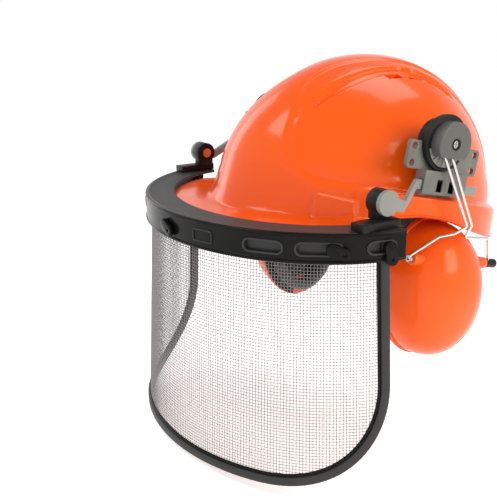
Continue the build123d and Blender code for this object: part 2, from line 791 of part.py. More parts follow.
with BuildPart() as ear_cushion_left:
    with BuildSketch(cup_plane.offset(-ring_thick - cushion_thick)):
        Ellipse(cup_half_height - cushion_inset, cup_half_width - cushion_inset)
        Ellipse(cup_half_height - cushion_band, cup_half_width - cushion_band, mode=Mode.SUBTRACT)
    extrude(amount=cushion_thick)
    fillet(ear_cushion_left.faces().sort_by(Axis.X)[0].edges(), 5)

with BuildPart() as cup_foam_left:
    with BuildSketch(cup_plane.offset(1.0)):
        Ellipse(cup_half_height - cup_wall - 6, cup_half_width - cup_wall - 6)
    extrude(amount=foam_thick)

# ---- visor arm (left) ------------------------------------------------------------------------------
disc_inner_x = hinge_face_x - arm_thick
arm_sections = (
    (hinge_y + 4, hinge_z, 9.0, disc_inner_x),
    (hinge_y + arm_bend_start, hinge_z - 1, 8.0, disc_inner_x - 0.5),
    (hinge_y + arm_bend_end, arm_bar_z - 0.5, 8.5, (disc_inner_x + bar_x) / 2 + 1),
    (hinge_y + arm_bar_start, arm_bar_z, arm_bar_height, bar_x),
)

with BuildPart() as visor_arm_left:
    for station_y, station_z, tall, inner_x in arm_sections:
        with BuildSketch(Plane(origin=(0, station_y, 0), x_dir=(1, 0, 0), z_dir=(0, -1, 0))):
            with Locations((inner_x + arm_thick / 2, station_z)):
                Rectangle(arm_thick, tall)
    loft(ruled=True)
    with BuildSketch(side_plane.offset(bar_x)):
        with Locations(((hinge_y + arm_bar_start + arm_tail_y) / 2, arm_bar_z)):
            Rectangle(arm_tail_y - hinge_y - arm_bar_start, arm_bar_height)
    extrude(amount=arm_thick)
    with BuildSketch(side_plane.offset(disc_inner_x)):
        with Locations((hinge_y, hinge_z)):
            Circle(hinge_disc_radius)
    extrude(amount=arm_thick)
    with BuildSketch(side_plane.offset(disc_inner_x)):
        with Locations((hinge_y, hinge_z)):
            Circle(hinge_pin_radius)
    extrude(amount=arm_thick - arm_disc_web, mode=Mode.SUBTRACT)

hub_face = disc_inner_x - moving_gap
hub_start = hub_face - hub_thick

with BuildPart() as hinge_pin_left:
    with BuildSketch(side_plane.offset(hub_start - moving_gap)):
        with Locations((hinge_y, hinge_z)):
            Circle(hinge_pin_radius)
    extrude(amount=hub_thick + 2 * moving_gap + arm_thick - arm_disc_web)
    with BuildSketch(side_plane.offset(hub_start - moving_gap)):
        with Locations((hinge_y, hinge_z)):
            Circle(hinge_pin_radius + hinge_flange)
    extrude(amount=-hinge_flange_thick)

# hub, neck and shoe that carry the guard at the hinge
shoe_middle = guard_rear - shoe_length / 2 + 1.5
shoe_x = hub_start + shoe_width / 2 + 3
hinge_local = visor_plane.to_local_coords(Vector(0, hinge_y, hinge_z))

with BuildPart() as hinge_hub_left:
    with BuildSketch(side_plane.offset(hub_start)):
        with Locations((hinge_y, hinge_z)):
            Circle(hinge_disc_radius)
    extrude(amount=hub_thick)
    neck_tall = hinge_local.Z - shoe_height - 4
    with BuildSketch(visor_plane.offset(shoe_height)):
        with Locations((hub_start + hub_thick / 2, hinge_local.Y)):
            Rectangle(hub_thick - 2, neck_width - 1)
    extrude(amount=neck_tall)
    with BuildSketch(side_plane.offset(hub_start)):
        with Locations((hinge_y, hinge_z)):
            Circle(hinge_pin_radius + bearing_gap)
    extrude(amount=hub_thick, mode=Mode.SUBTRACT)

with BuildPart() as hinge_shoe_left:
    with BuildSketch(visor_plane):
        with Locations((shoe_x, shoe_middle)):
            Rectangle(shoe_width, shoe_length)
    extrude(amount=shoe_height)
    # serrations across the top
    with BuildSketch(visor_plane.offset(shoe_height)):
        with Locations((shoe_x + (shoe_width - serration_length) / 2, shoe_middle)):
            with GridLocations(0, serration_pitch, 1, int(shoe_length / serration_pitch) - 1):
                Rectangle(serration_length, serration_width)
    extrude(amount=-serration_depth, mode=Mode.SUBTRACT)

# ---- brow guard ------------------------------------------------------------------------------------
def guard_outline(inset):
    """Half-oval plan of the guard, moved in by an inset."""
    with BuildLine() as outline:
        EllipticalCenterArc((0, guard_centre), guard_half_width - inset, guard_reach - inset, 180, arc_size=180)
        Line((guard_half_width - inset, guard_centre), (inset - guard_half_width, guard_centre))
    make_face(outline.edges())


def cut_rear(edge, floor, height):
    """Removes what lies behind an edge across the visor plane."""
    with BuildSketch(visor_plane.offset(floor)) as behind_edge:
        with Locations((0, edge + 50)):
            Rectangle(2 * guard_half_width + 80, 100)
    extrude(behind_edge.sketch, amount=height, mode=Mode.SUBTRACT)


with BuildPart() as brow_guard:
    with BuildSketch(visor_plane):
        guard_outline(0)
    extrude(amount=-guard_height)
    with BuildSketch(visor_plane.offset(-flange_thick)):
        guard_outline(guard_wall)
    extrude(amount=-guard_height, mode=Mode.SUBTRACT)
    with BuildSketch(visor_plane.offset(1)):
        guard_outline(flange_width)
    extrude(amount=-flange_thick - 2, mode=Mode.SUBTRACT)
    cut_rear(guard_rear, -guard_height - 1, guard_height + 2)
    for ahead, behind in slot_stations:
        for side in (1, -1):
            ends = [guard_point(90 - side * (90 - turn))[0] for turn in (ahead, behind)]
            middle_turn = 90 - side * (90 - (ahead + behind) / 2)
            with BuildSketch(guard_plane(middle_turn, -guard_height / 2)):
                SlotOverall((ends[1] - ends[0]).length, slot_height)
            extrude(amount=8, both=True, mode=Mode.SUBTRACT)
    # hole for the front button's stud
    with BuildSketch(guard_plane(90, -guard_height / 2)):
        Circle(stud_radius + moving_gap)
    extrude(amount=6, both=True, mode=Mode.SUBTRACT)

# ---- visor rim and mesh ----------------------------------------------------------------------------
rim_inset = guard_wall + seat_gap
strip_top = -flange_thick - strip_gap
visor_low = -guard_height - visor_drop
post_rear = guard_rear - post_inset


def sheet(inset, thick, top):
    """A sheet that follows the guard's plan and spreads towards its lower edge."""
    levels = {-guard_height: 1.0, visor_low: visor_spread}
    if top > -guard_height:
        levels = {top: 1.0, **levels}
    sections = []
    for height, spread in levels.items():
        outer_x = (guard_half_width - inset) * spread
        outer_y = (guard_reach - inset) * spread
        middle = (0, guard_centre)
        with BuildSketch(visor_plane.offset(height)) as section:
            with BuildLine():
                outer_arc = EllipticalCenterArc(middle, outer_x, outer_y, 180, arc_size=180)
                inner_arc = EllipticalCenterArc(middle, outer_x - thick, outer_y - thick, 180, arc_size=180)
                Line(outer_arc @ 0, inner_arc @ 0)
                Line(outer_arc @ 1, inner_arc @ 1)
            make_face()
        sections.append(section.sketch)
    loft(sections, ruled=True)


def side_window(margin, top):
    """Keeps what lies inside the visor's outline in side view, less a margin all round."""
    rear = post_rear - margin
    low = visor_low + margin
    corner = visor_corner - margin
    with BuildSketch(visor_side_plane) as window:
        with BuildLine():
            Polyline((rear, low + corner), (rear, top), (-far, top), (-far, low), (rear - corner, low))
            JernArc((rear - corner, low), (1, 0), corner, 90)
        make_face()
    extrude(window.sketch, amount=far, both=True, mode=Mode.INTERSECT)


with BuildPart() as visor_opening:
    sheet(rim_inset - 1, rim_thick + 2, -guard_height)
    side_window(rim_width, -guard_height - 1.0)

with BuildPart() as visor_rim:
    sheet(rim_inset, rim_thick, strip_top)
    side_window(0, strip_top)
    add(visor_opening.part, mode=Mode.SUBTRACT)
    for station in button_stations:
        for side in ((1, -1) if station != 90 else (1,)):
            with BuildSketch(guard_plane(90 - side * (90 - station), -guard_height / 2, rim_inset)):
                Circle(stud_radius + moving_gap)
            extrude(amount=8, both=True, mode=Mode.SUBTRACT)

with BuildPart() as visor_mesh:
    sheet(rim_inset + rim_thick / 2 - mesh_thick / 2, mesh_thick, -guard_height)
    side_window(rim_width, -guard_height - 1.0)

# ---- turn buttons ----------------------------------------------------------------------------------
button_names = {
    90: "turn_button_front",
    30: "turn_button_left",
    150: "turn_button_right",
    12: "post_button_left",
    168: "post_button_right",
}
turn_buttons = {}
for station, button_name in button_names.items():
    button_plane = guard_plane(station, -guard_height / 2)
    tilt = post_button_tilt if "post" in button_name else button_tilt
    turn = -tilt if station <= 90 else 180 + tilt
    lever_plane = guard_plane(station, -guard_height / 2, -moving_gap, turn)
    with BuildPart() as button:
        with BuildSketch(lever_plane):
            with Locations(((button_length - button_width) / 2, 0)):
                SlotOverall(button_length, button_width)
        extrude(amount=button_thick)
        with BuildSketch(lever_plane.offset(button_thick)):
            with Locations((button_length - button_width, 0)):
                Circle(dimple_radius)
        extrude(amount=-dimple_radius, mode=Mode.SUBTRACT)
        with BuildSketch(button_plane.offset(moving_gap)):
            Circle(stud_radius)
        extrude(amount=-(moving_gap + rim_inset + rim_thick + moving_gap + stud_head_thick))
        with BuildSketch(button_plane.offset(-(rim_inset + rim_thick + moving_gap))):
            Circle(stud_radius + stud_head)
        extrude(amount=-stud_head_thick)
    turn_buttons[button_name] = button

# ---- export ------------------------------------------------------------------------------------
pieces = {
    "shell": shell,
    "headband": headband,
    "sweatband": sweatband,
    "harness_clips": harness_clips,
    "ratchet_housing": ratchet_housing,
    "ratchet_cover": ratchet_cover,
    "ratchet_pinion": ratchet_pinion,
    "adjuster_knob": adjuster_knob,
    "nape_pad": nape_pad,
    "brow_guard": brow_guard,
    "visor_rim": visor_rim,
    "visor_mesh": visor_mesh,
}
pieces.update(crown_straps)
pieces.update(rack_bands)
pieces.update(turn_buttons)
for name, piece in pieces.items():
    piece.part.label = name
    export_step(piece.part, "parts/" + name + ".step")

# the right side mirrors the left
left_pieces = {
    "carrier": carrier_left,
    "pivot_boss": pivot_boss_left,
    "pivot_screw": pivot_screw_left,
    "pivot_disc": pivot_disc_left,
    "pivot_block": pivot_block_left,
    "flip_pin": flip_pin_left,
    "wire_barrel": wire_barrel_left,
    "wire_front": wire_front_left,
    "wire_rear": wire_rear_left,
    "wire_knob": wire_knob_left,
    "wire_grommet": wire_grommet_left,
    "ear_cup": ear_cup_left,
    "cup_ring": cup_ring_left,
    "ear_cushion": ear_cushion_left,
    "cup_foam": cup_foam_left,
    "visor_arm": visor_arm_left,
    "hinge_pin": hinge_pin_left,
    "hinge_hub": hinge_hub_left,
    "hinge_shoe": hinge_shoe_left,
}
for name, piece in left_pieces.items():
    piece.part.label = name + "_left"
    export_step(piece.part, "parts/" + name + "_left.step")
    with BuildPart() as right_piece:
        add(mirror(piece.part, about=Plane.YZ, mode=Mode.PRIVATE))
    right_piece.part.label = name + "_right"
    export_step(right_piece.part, "parts/" + name + "_right.step")
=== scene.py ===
# %% [markdown]
# # A forestry helmet
# A hard orange shell with a peak, a black brow guard that carries a woven wire visor, and two ear muffs
# on sprung wire arms. The frame from the CAD model says where each piece is, and these cells give each
# piece its looks. Lengths are written in millimetres and multiplied by `mm`, because Blender's unit
# here is the metre.

# %% Load the fixed frame
import json
import math

import bmesh
import bpy
import numpy as np
from mathutils import Matrix, Vector

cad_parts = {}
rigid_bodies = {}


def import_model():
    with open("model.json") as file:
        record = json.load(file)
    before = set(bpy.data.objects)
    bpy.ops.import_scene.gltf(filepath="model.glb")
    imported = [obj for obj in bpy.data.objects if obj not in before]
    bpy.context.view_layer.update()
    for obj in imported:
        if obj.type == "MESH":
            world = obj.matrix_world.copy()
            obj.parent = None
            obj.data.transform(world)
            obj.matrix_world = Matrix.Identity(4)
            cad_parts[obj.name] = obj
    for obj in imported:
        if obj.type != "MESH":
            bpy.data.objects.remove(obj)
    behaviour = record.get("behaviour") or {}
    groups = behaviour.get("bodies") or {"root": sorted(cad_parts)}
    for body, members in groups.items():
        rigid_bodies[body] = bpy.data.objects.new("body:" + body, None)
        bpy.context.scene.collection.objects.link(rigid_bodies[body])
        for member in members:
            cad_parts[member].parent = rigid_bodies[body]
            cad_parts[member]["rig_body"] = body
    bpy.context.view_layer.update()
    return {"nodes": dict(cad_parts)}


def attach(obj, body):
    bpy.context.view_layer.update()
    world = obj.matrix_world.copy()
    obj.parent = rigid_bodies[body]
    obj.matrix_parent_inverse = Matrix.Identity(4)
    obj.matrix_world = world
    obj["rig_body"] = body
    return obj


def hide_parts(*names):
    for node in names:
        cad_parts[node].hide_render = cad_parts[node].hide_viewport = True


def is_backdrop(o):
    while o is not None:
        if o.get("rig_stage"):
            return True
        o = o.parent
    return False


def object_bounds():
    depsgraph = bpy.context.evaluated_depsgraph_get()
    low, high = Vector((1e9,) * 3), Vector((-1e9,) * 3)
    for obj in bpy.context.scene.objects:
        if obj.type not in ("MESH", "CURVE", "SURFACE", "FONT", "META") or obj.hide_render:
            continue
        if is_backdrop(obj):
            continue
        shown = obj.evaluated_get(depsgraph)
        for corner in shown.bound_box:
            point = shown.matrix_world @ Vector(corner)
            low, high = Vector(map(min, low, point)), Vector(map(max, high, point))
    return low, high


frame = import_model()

mm = 0.001
edge_limit = 32.0

# %% [markdown]
# ## Small helpers for meshes
# Most pieces are made as arrays of points joined by four-sided faces. A ring of points swept along a
# path, or a grid wrapped round the head, needs only the points and one rule for its faces. Smooth
# shading with a limit angle keeps moulded edges crisp.

# %% Make an object from points and faces


def make_piece(name, points, faces, edges=(), smooth_limit=35.0):
    """A new mesh object at the origin, with its place in its mesh. Points are in millimetres."""
    mesh = bpy.data.meshes.new(name)
    mesh.from_pydata((np.asarray(points, float) * mm).tolist(), list(edges), list(faces))
    mesh.validate()
    piece = bpy.data.objects.new(name, mesh)
    bpy.context.scene.collection.objects.link(piece)
    if len(faces):
        shade(piece, smooth_limit)
    return piece


def shade(piece, smooth_limit=35.0):
    """Smooth shading, with edges sharper than the limit kept crisp."""
    piece.data.shade_smooth()
    if smooth_limit < 180:
        piece.data.set_sharp_from_angle(angle=math.radians(smooth_limit))


def grid_faces(rows, columns, start=0):
    """Faces of a grid of closed rows, whose points run along each row first."""
    faces = []
    for row in range(rows - 1):
        for column in range(columns):
            after = (column + 1) % columns
            a = start + row * columns
            b = a + columns
            faces.append((a + column, a + after, b + after, b + column))
    return faces


def outward(piece):
    """Turns a closed mesh's faces outwards, after its doubles are merged."""
    work = bmesh.new()
    work.from_mesh(piece.data)
    bmesh.ops.remove_doubles(work, verts=work.verts, dist=1e-3 * mm)
    bmesh.ops.recalc_face_normals(work, faces=work.faces)
    work.to_mesh(piece.data)
    work.free()
    return piece


def bake_modifiers(piece):
    """Replaces the piece's mesh by what its modifiers make of it, and removes them."""
    graph = bpy.context.evaluated_depsgraph_get()
    mesh = bpy.data.meshes.new_from_object(piece.evaluated_get(graph))
    piece.modifiers.clear()
    piece.data = mesh
    return piece


def cut_away(piece, cutter):
    """Cuts one mesh out of another."""
    cut = piece.modifiers.new("cut", "BOOLEAN")
    cut.operation = "DIFFERENCE"
    cut.solver = "FAST"
    cut.object = cutter
    bpy.context.view_layer.update()
    bake_modifiers(piece)
    bpy.data.objects.remove(cutter)
    return piece


def round_edges(piece, width):
    """Rounds every edge sharper than the limit, as a mould does."""
    bevel = piece.modifiers.new("edge", "BEVEL")
    bevel.width = width * mm
    bevel.segments = 2
    bevel.limit_method = "ANGLE"
    bevel.angle_limit = math.radians(edge_limit)
    bevel.use_clamp_overlap = True
    bevel.miter_outer = "MITER_ARC"
    bpy.context.view_layer.update()
    bake_modifiers(piece)
    shade(piece)
    return piece


def ring_piece(name, rings, loop=False, smooth_limit=35.0):
    """A closed piece of rings of points: the last ring joins the first, or each end has a cap."""
    count, size = rings.shape[:2]
    last = (count - 1) * size
    faces = grid_faces(count, size)
    if loop:
        faces += [(last + k, last + (k + 1) % size, (k + 1) % size, k) for k in range(size)]
    else:
        faces += [tuple(range(size)), tuple(last + k for k in reversed(range(size)))]
    return outward(make_piece(name, rings.reshape(-1, 3), faces, smooth_limit=smooth_limit))


def sweep(name, path, section, across, outwards):
    """Carries a closed section along a path: its two coordinates go along `across` and `outwards`."""
    path, section = np.asarray(path, float), np.asarray(section, float)
    rings = path[:, None, :] + section[None, :, 0, None] * across[:, None, :]
    rings = rings + section[None, :, 1, None] * outwards[:, None, :]
    return ring_piece(name, rings)


def box_piece(name, middle, half):
    """A box, from its middle and its half sizes."""
    corners = [
        (middle[0] + sx * half[0], middle[1] + sy * half[1], middle[2] + sz * half[2])
        for sx in (-1, 1)
        for sy, sz in ((-1, -1), (1, -1), (1, 1), (-1, 1))
    ]
    faces = [(k, (k + 1) % 4, 4 + (k + 1) % 4, 4 + k) for k in range(4)] + [(3, 2, 1, 0), (4, 5, 6, 7)]
    return outward(make_piece(name, corners, faces))


def wear(piece, material, body, stands_for=None):
    """Gives a piece its finish and sets it on a body; it may stand for a CAD node."""
    piece.data.materials.clear()
    piece.data.materials.append(material)
    if stands_for:
        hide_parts(stands_for)
    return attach(piece, body)


def rounded_box_section(width, height, radius, steps=4, centre=(0.0, 0.0)):
    """A rounded rectangle as a closed list of points."""
    points = []
    for k, (sx, sy) in enumerate(((1, 1), (-1, 1), (-1, -1), (1, -1))):
        for step in range(steps + 1):
            turn = math.radians(90 * k + 90 * step / steps)
            points.append((
                centre[0] + sx * (width / 2 - radius) + radius * math.cos(turn),
                centre[1] + sy * (height / 2 - radius) + radius * math.sin(turn),
            ))
    return points


def smooth(low, high, value):
    """A smooth rise from 0 at low to 1 at high."""
    t = np.clip((np.asarray(value, float) - low) / (high - low), 0, 1)
    return t * t * (3 - 2 * t)


print("helpers ready")

# %% [markdown]
# ## Shader sums
# A material is a tree of small nodes. Wrapping a socket in a class with the usual operators lets the
# maths of a finish be written as an ordinary sum, and each operator adds the Math node it needs.

# %% Wrap sockets and build finishes


class Reading:
    """A number that changes over a surface: sums on it add Math nodes to its tree."""

    def __init__(self, graph, socket):
        self.graph = graph
        self.socket = socket

    def sum_with(self, operation, first, second):
        return self.graph.node("ShaderNodeMath", {"operation": operation}, {0: first, 1: second})

    def __add__(self, other):
        return self.sum_with("ADD", self, other)

    def __mul__(self, other):
        return self.sum_with("MULTIPLY", self, other)


class Graph:
    """A tree of nodes, in a material or in Geometry Nodes."""

    def node(self, kind, settings=None, inputs=None, output=0):
        """Adds a node: settings first, then the values or links of its sockets."""
        node = self.tree.nodes.new(kind)
        for label, value in (settings or {}).items():
            setattr(node, label, value)
        for label, value in (inputs or {}).items():
            if isinstance(value, Reading):
                self.tree.links.new(value.socket, node.inputs[label])
            else:
                node.inputs[label].default_value = value
        return Reading(self, node.outputs[output])


class Finish(Graph):
    """One procedural material, with its Principled shader."""

    def __init__(self, name, **constants):
        self.material = bpy.data.materials.new(name)
        self.material.use_nodes = True
        self.tree = self.material.node_tree
        self.shader = self.tree.nodes["Principled BSDF"]
        for label, value in constants.items():
            self.shader.inputs[label.replace("_", " ")].default_value = value

    def noise(self, scale, detail=3.0, roughness=0.55, stretch=(1, 1, 1)):
        """Cloudy noise, with this many cycles to the metre."""
        place = self.node("ShaderNodeTexCoord", output="Object")
        at = self.node("ShaderNodeMapping", {}, {"Vector": place, "Scale": stretch})
        return self.node(
            "ShaderNodeTexNoise", {}, {"Vector": at, "Scale": scale, "Detail": detail, "Roughness": roughness}
        )

    def spread(self, value, low, high, to_low, to_high):
        """The value carried from one range to another and held there."""
        return self.node(
            "ShaderNodeMapRange",
            {},
            {"Value": value, "From Min": low, "From Max": high, "To Min": to_low, "To Max": to_high},
        )

    def mix(self, factor, first, second):
        """Two colours mixed by a factor."""
        inputs = {0: factor}
        inputs[6] = first if isinstance(first, Reading) else (*first, 1.0)
        inputs[7] = second if isinstance(second, Reading) else (*second, 1.0)
        return self.node("ShaderNodeMix", {"data_type": "RGBA"}, inputs, output=2)

    def set(self, label, reading):
        self.tree.links.new(reading.socket, self.shader.inputs[label])

    def bump(self, height, depth):
        """Feeds the shader's normal from a height of this depth in millimetres."""
        self.set("Normal", self.node("ShaderNodeBump", {}, {"Height": height, "Distance": depth * mm}))


print("finishes are built by the Finish class")

# %% [markdown]
# ## Finishes
# The shell and the cups are glossy injection-moulded plastic: a clear coat over a saturated orange, with
# the faint waviness of a moulded skin. The guard is gloss black with fine scuffs, the carriers are satin
# grey, and the harness is matte. Each finish below changes a little over the surface.

# %% Orange, black and grey plastics


def orange_plastic():
    finish = Finish("orange_gloss_plastic", Coat_Weight=0.2, Coat_Roughness=0.03, Specular_IOR_Level=0.22)
    clouds = finish.noise(9, 2)
    finish.set("Base Color", finish.mix(clouds, (0.90, 0.092, 0.003), (0.94, 0.112, 0.005)))
    finish.set("Roughness", finish.noise(60, 4) * 0.12 + 0.16)
    finish.bump(finish.noise(260, 2) + finish.noise(38, 2) * 0.6, 0.022)
    return finish.material


def plastic(name, dark, light, low, high, grain, depth, scuffs=0.0, **constants):
    """A moulded plastic: colour clouds, a roughness range, a grain in cycles to the metre and scuffs."""
    finish = Finish(name, **constants)
    clouds = finish.noise(35, 4)
    finish.set("Base Color", finish.mix(clouds, dark, light))
    marks = finish.noise(420, 5, 0.7, stretch=(1, 1, 0.12))
    finish.set("Roughness", clouds * (high - low) + low + marks * scuffs)
    finish.bump(finish.noise(grain, 3), depth)
    return finish.material


orange = orange_plastic()
thread_grey = plastic("thread_grey", (0.05, 0.05, 0.052), (0.09, 0.09, 0.095), 0.6, 0.75, 2400, 0.03)
black_gloss = plastic(
    "black_gloss", (0.004, 0.004, 0.004), (0.008, 0.008, 0.008), 0.14, 0.22, 300, 0.015, 0.1,
    Specular_IOR_Level=0.12,
)
black_satin = plastic(
    "black_satin", (0.008, 0.008, 0.008), (0.015, 0.015, 0.015), 0.3, 0.42, 900, 0.03, 0.08,
    Specular_IOR_Level=0.18,
)
flange_grey = plastic("flange_matte", (0.02, 0.02, 0.021), (0.034, 0.034, 0.035), 0.42, 0.55, 1400, 0.06, 0.1)
rim_grey = plastic(
    "rim_satin", (0.018, 0.018, 0.019), (0.03, 0.03, 0.031), 0.34, 0.46, 1100, 0.03, 0.1,
    Specular_IOR_Level=0.35,
)
grey_satin = plastic("grey_satin", (0.12, 0.12, 0.112), (0.165, 0.165, 0.155), 0.32, 0.44, 1300, 0.03, 0.1)
pale_grey = plastic("pale_grey_satin", (0.21, 0.215, 0.20), (0.27, 0.275, 0.26), 0.34, 0.46, 1300, 0.03, 0.08)
dark_grey = plastic("dark_grey_satin", (0.07, 0.07, 0.068), (0.11, 0.11, 0.107), 0.28, 0.4, 900, 0.03, 0.1)
harness_black = plastic(
    "harness_matte", (0.02, 0.02, 0.022), (0.035, 0.035, 0.037), 0.5, 0.62, 700, 0.05, 0.05
)
print("plastics:", len(bpy.data.materials))

# %% Steel, mesh wire, cushion skin, foam and webbing


def steel(name, colour, low, high):
    """Bare metal with fine marks."""
    finish = Finish(name, Metallic=1.0)
    marks = finish.noise(900, 4, 0.6)
    finish.set("Base Color", finish.mix(finish.noise(120, 3), colour, tuple(0.82 * c for c in colour)))
    finish.set("Roughness", marks * (high - low) + low)
    return finish.material


def skin():
    """The soft black foil round an ear cushion: fine creases and a dull shine."""
    finish = Finish("cushion_skin", Sheen_Weight=0.15)
    creases = finish.node("ShaderNodeTexVoronoi", {"feature": "DISTANCE_TO_EDGE"}, {"Scale": 620.0})
    finish.set("Base Color", finish.mix(finish.noise(60), (0.012, 0.012, 0.013), (0.024, 0.024, 0.025)))
    finish.set("Roughness", finish.noise(90) * 0.2 + 0.42)
    finish.bump(finish.spread(creases, 0.0, 0.12, 0.0, 1.0), 0.05)
    return finish.material


def foam(name, dark, light):
    """Open foam: small dark cells in a soft light body."""
    finish = Finish(name, Roughness=0.92, Sheen_Weight=0.2)
    cells = finish.node("ShaderNodeTexVoronoi", {"feature": "F1"}, {"Scale": 900.0})
    finish.set("Base Color", finish.mix(finish.spread(cells, 0.1, 0.75, 1.0, 0.0), dark, light))
    finish.bump(cells, 0.25)
    return finish.material


def webbing():
    """A woven strap: ribs across it, crossed by fine threads."""
    finish = Finish("strap_webbing", Roughness=0.8, Sheen_Weight=0.25)
    ribs = finish.node("ShaderNodeTexWave", {"bands_direction": "Z"}, {"Scale": 260.0, "Distortion": 0.4})
    threads = finish.node("ShaderNodeTexWave", {"bands_direction": "X"}, {"Scale": 420.0, "Distortion": 0.8})
    weave = ribs * 0.7 + threads * 0.3
    finish.set("Base Color", finish.mix(weave, (0.02, 0.02, 0.022), (0.075, 0.075, 0.08)))
    finish.bump(weave, 0.15)
    return finish.material


bright_steel = steel("bright_steel_wire", (0.78, 0.77, 0.75), 0.14, 0.26)
turned_steel = steel("turned_steel", (0.66, 0.66, 0.66), 0.2, 0.36)
mesh_steel = plastic(
    "painted_mesh_wire", (0.22, 0.215, 0.22), (0.32, 0.31, 0.32), 0.35, 0.5, 900, 0.02, 0.05, Metallic=0.3
)
soft_skin = skin()
black_foam = foam("black_foam", (0.012, 0.012, 0.013), (0.05, 0.05, 0.052))
strap_web = webbing()
print("finishes:", len(bpy.data.materials))

# %% [markdown]
# ## The shell
# One thin moulding: a domed crown, a narrow shield up the front, side panels set back from it, a
# vented channel beside the crest, a gutter over the ears, pockets for accessories and a peak. Each of
# these follows a rule in height and direction, so the shell is a grid wrapped round the head. The grid
# runs down from the crown, and the relief is pushed in or out of it.

# %% Crown form and relief outlines
crown = {"half_width": 104.9, "front": 127.5, "rear": 125.2, "y": 8.87, "low": -6.2, "high": 109.3}
crown_power, plan_power, crown_lean = 1.96, 1.85, 7.5
shell_wall = 2.5
crown_rise = crown["high"] - crown["low"]


def crown_point(azimuth, height):
    """A point of the crown: azimuth from the front towards the wearer's left, in radians."""
    share = np.clip((height - crown["low"]) / crown_rise, 0, 1)
    girth = (1 - share**crown_power) ** (1 / crown_power)
    ahead, aside = -np.cos(azimuth), np.sin(azimuth)
    plan = (np.abs(ahead) ** plan_power + np.abs(aside) ** plan_power) ** (-1 / plan_power)
    half_length = np.where(ahead > 0, crown["rear"], crown["front"])
    x = crown["half_width"] * girth * aside * plan
    y = crown["y"] + crown_lean * share**2 + half_length * girth * ahead * plan
    return np.stack([x, y, height + 0 * x], axis=-1)


def unrolled(points):
    """Where points of the crown lie when it is pressed flat about its top, in millimetres."""
    points = np.asarray(points, float)
    share = (points[..., 2] - crown["low"]) / crown_rise
    y = points[..., 1] - crown["y"] - crown_lean * np.clip(share, 0, 1) ** 2
    half_length = np.where(y > 0, crown["rear"], crown["front"])
    azimuth = np.arctan2(points[..., 0] / crown["half_width"], -y / half_length)
    away = np.arccos(np.clip(share, 0, 1)) + np.clip(-share, 0, None)
    return np.stack([crown_rise * away * np.sin(azimuth), crown_rise * away * np.cos(azimuth)], axis=-1)


def curved(corners, steps=6):
    """A closed smooth line through the corners."""
    corners = np.asarray(corners, float)
    line = []
    for k in range(len(corners)):
        a, b, c, d = (corners[(k + j - 1) % len(corners)] for j in range(4))
        for t in np.arange(steps) / steps:
            line.append(0.5 * (
                2 * b + (c - a) * t + (2 * a - 5 * b + 4 * c - d) * t**2 + (3 * b - a - 3 * c + d) * t**3
            ))
    return np.array(line)


def depth_inside(places, corners):
    """How far each place is inside a closed outline; negative outside it."""
    line = curved(unrolled(corners))
    best = np.full(len(places), 1e9)
    inside = np.zeros(len(places), bool)
    for a, b in zip(line, np.roll(line, -1, axis=0)):
        along = b - a
        t = np.clip((places - a) @ along / max(along @ along, 1e-9), 0, 1)
        best = np.minimum(best, np.linalg.norm(places - a - t[:, None] * along, axis=1))
        crosses = (a[1] > places[:, 1]) != (b[1] > places[:, 1])
        slope = (b[0] - a[0]) / (b[1] - a[1] if b[1] != a[1] else 1e-9)
        inside ^= crosses & (places[:, 0] < a[0] + slope * (places[:, 1] - a[1]))
    return np.where(inside, best, -best)


panel_outline = [
    (62, -95, 3), (55, -97.5, 9), (45, -103, 15), (37, -103, 27), (31, -98, 42), (24, -89, 60), (15, -78, 76),
    (15, -60, 90), (21, -38, 99), (26, -12, 104), (28, 10, 105), (30, 32, 101), (32, 55, 92), (33, 80, 74),
    (33, 100, 50), (36, 114, 24), (45, 118, 4), (78, 96, -4), (104, 55, -4), (111, 5, -3), (106, -32, -3),
    (92, -58, -4), (76, -81, -5),
]
side_outline = [
    (63, -93, 4), (57, -95, 11), (48, -98, 20), (42, -97, 33), (37, -93, 48), (33, -82, 64), (34, -64, 80),
    (36, -42, 92), (39, -15, 99), (41, 5, 100), (44, 24, 98), (48, 44, 91), (51, 66, 76), (54, 84, 55),
    (57, 98, 30), (62, 104, 6), (80, 93, -4), (104, 55, -4), (111, 5, -3), (106, -32, -3), (92, -58, -4),
    (77, -80, -5),
]
channel_outline = [
    (37, -88, 56), (35.5, -72, 73), (37, -50, 88), (38.5, -25, 97), (40, 0, 100.5), (43, 20, 98.5),
    (49, 36, 92), (56, 42, 86), (59, 36, 84.5), (54, 22, 91), (49.5, 0, 95), (46.5, -25, 92), (44, -50, 81),
    (41.5, -72, 67), (39.5, -86, 56),
]
print("crown", round(2 * crown["half_width"]), "x", round(crown["front"] + crown["rear"]), "mm")

# %% Wrap the grid: crown, gutter, skirt and peak
visor_pitch = math.radians(12.5)
visor_origin = np.array([0.0, -51.3, -11.4])
visor_back = np.array([0.0, math.cos(visor_pitch), math.sin(visor_pitch)])
visor_up = np.array([0.0, -math.sin(visor_pitch), math.cos(visor_pitch)])


def on_visor(x, back, up):
    """A point given in the visor's own pitched plane."""
    x, back, up = np.broadcast_arrays(np.asarray(x, float), np.asarray(back, float), np.asarray(up, float))
    aside = np.stack([x, 0 * x, 0 * x], axis=-1)
    return visor_origin + aside + back[..., None] * visor_back + up[..., None] * visor_up


def azimuths():
    """Directions round the head in radians, closer together at the pockets."""
    turn = np.linspace(0, math.pi, 2001)
    weight = 1.0 + 1.6 * smooth(0.55, 0.66, turn) * (1 - smooth(1.0, 1.1, turn))
    share = np.concatenate([[0], np.cumsum((weight[1:] + weight[:-1]) / 2)])
    half = np.interp(np.linspace(0, share[-1], 201), share, turn)
    return np.concatenate([half, 2 * math.pi - half[-2:0:-1]])


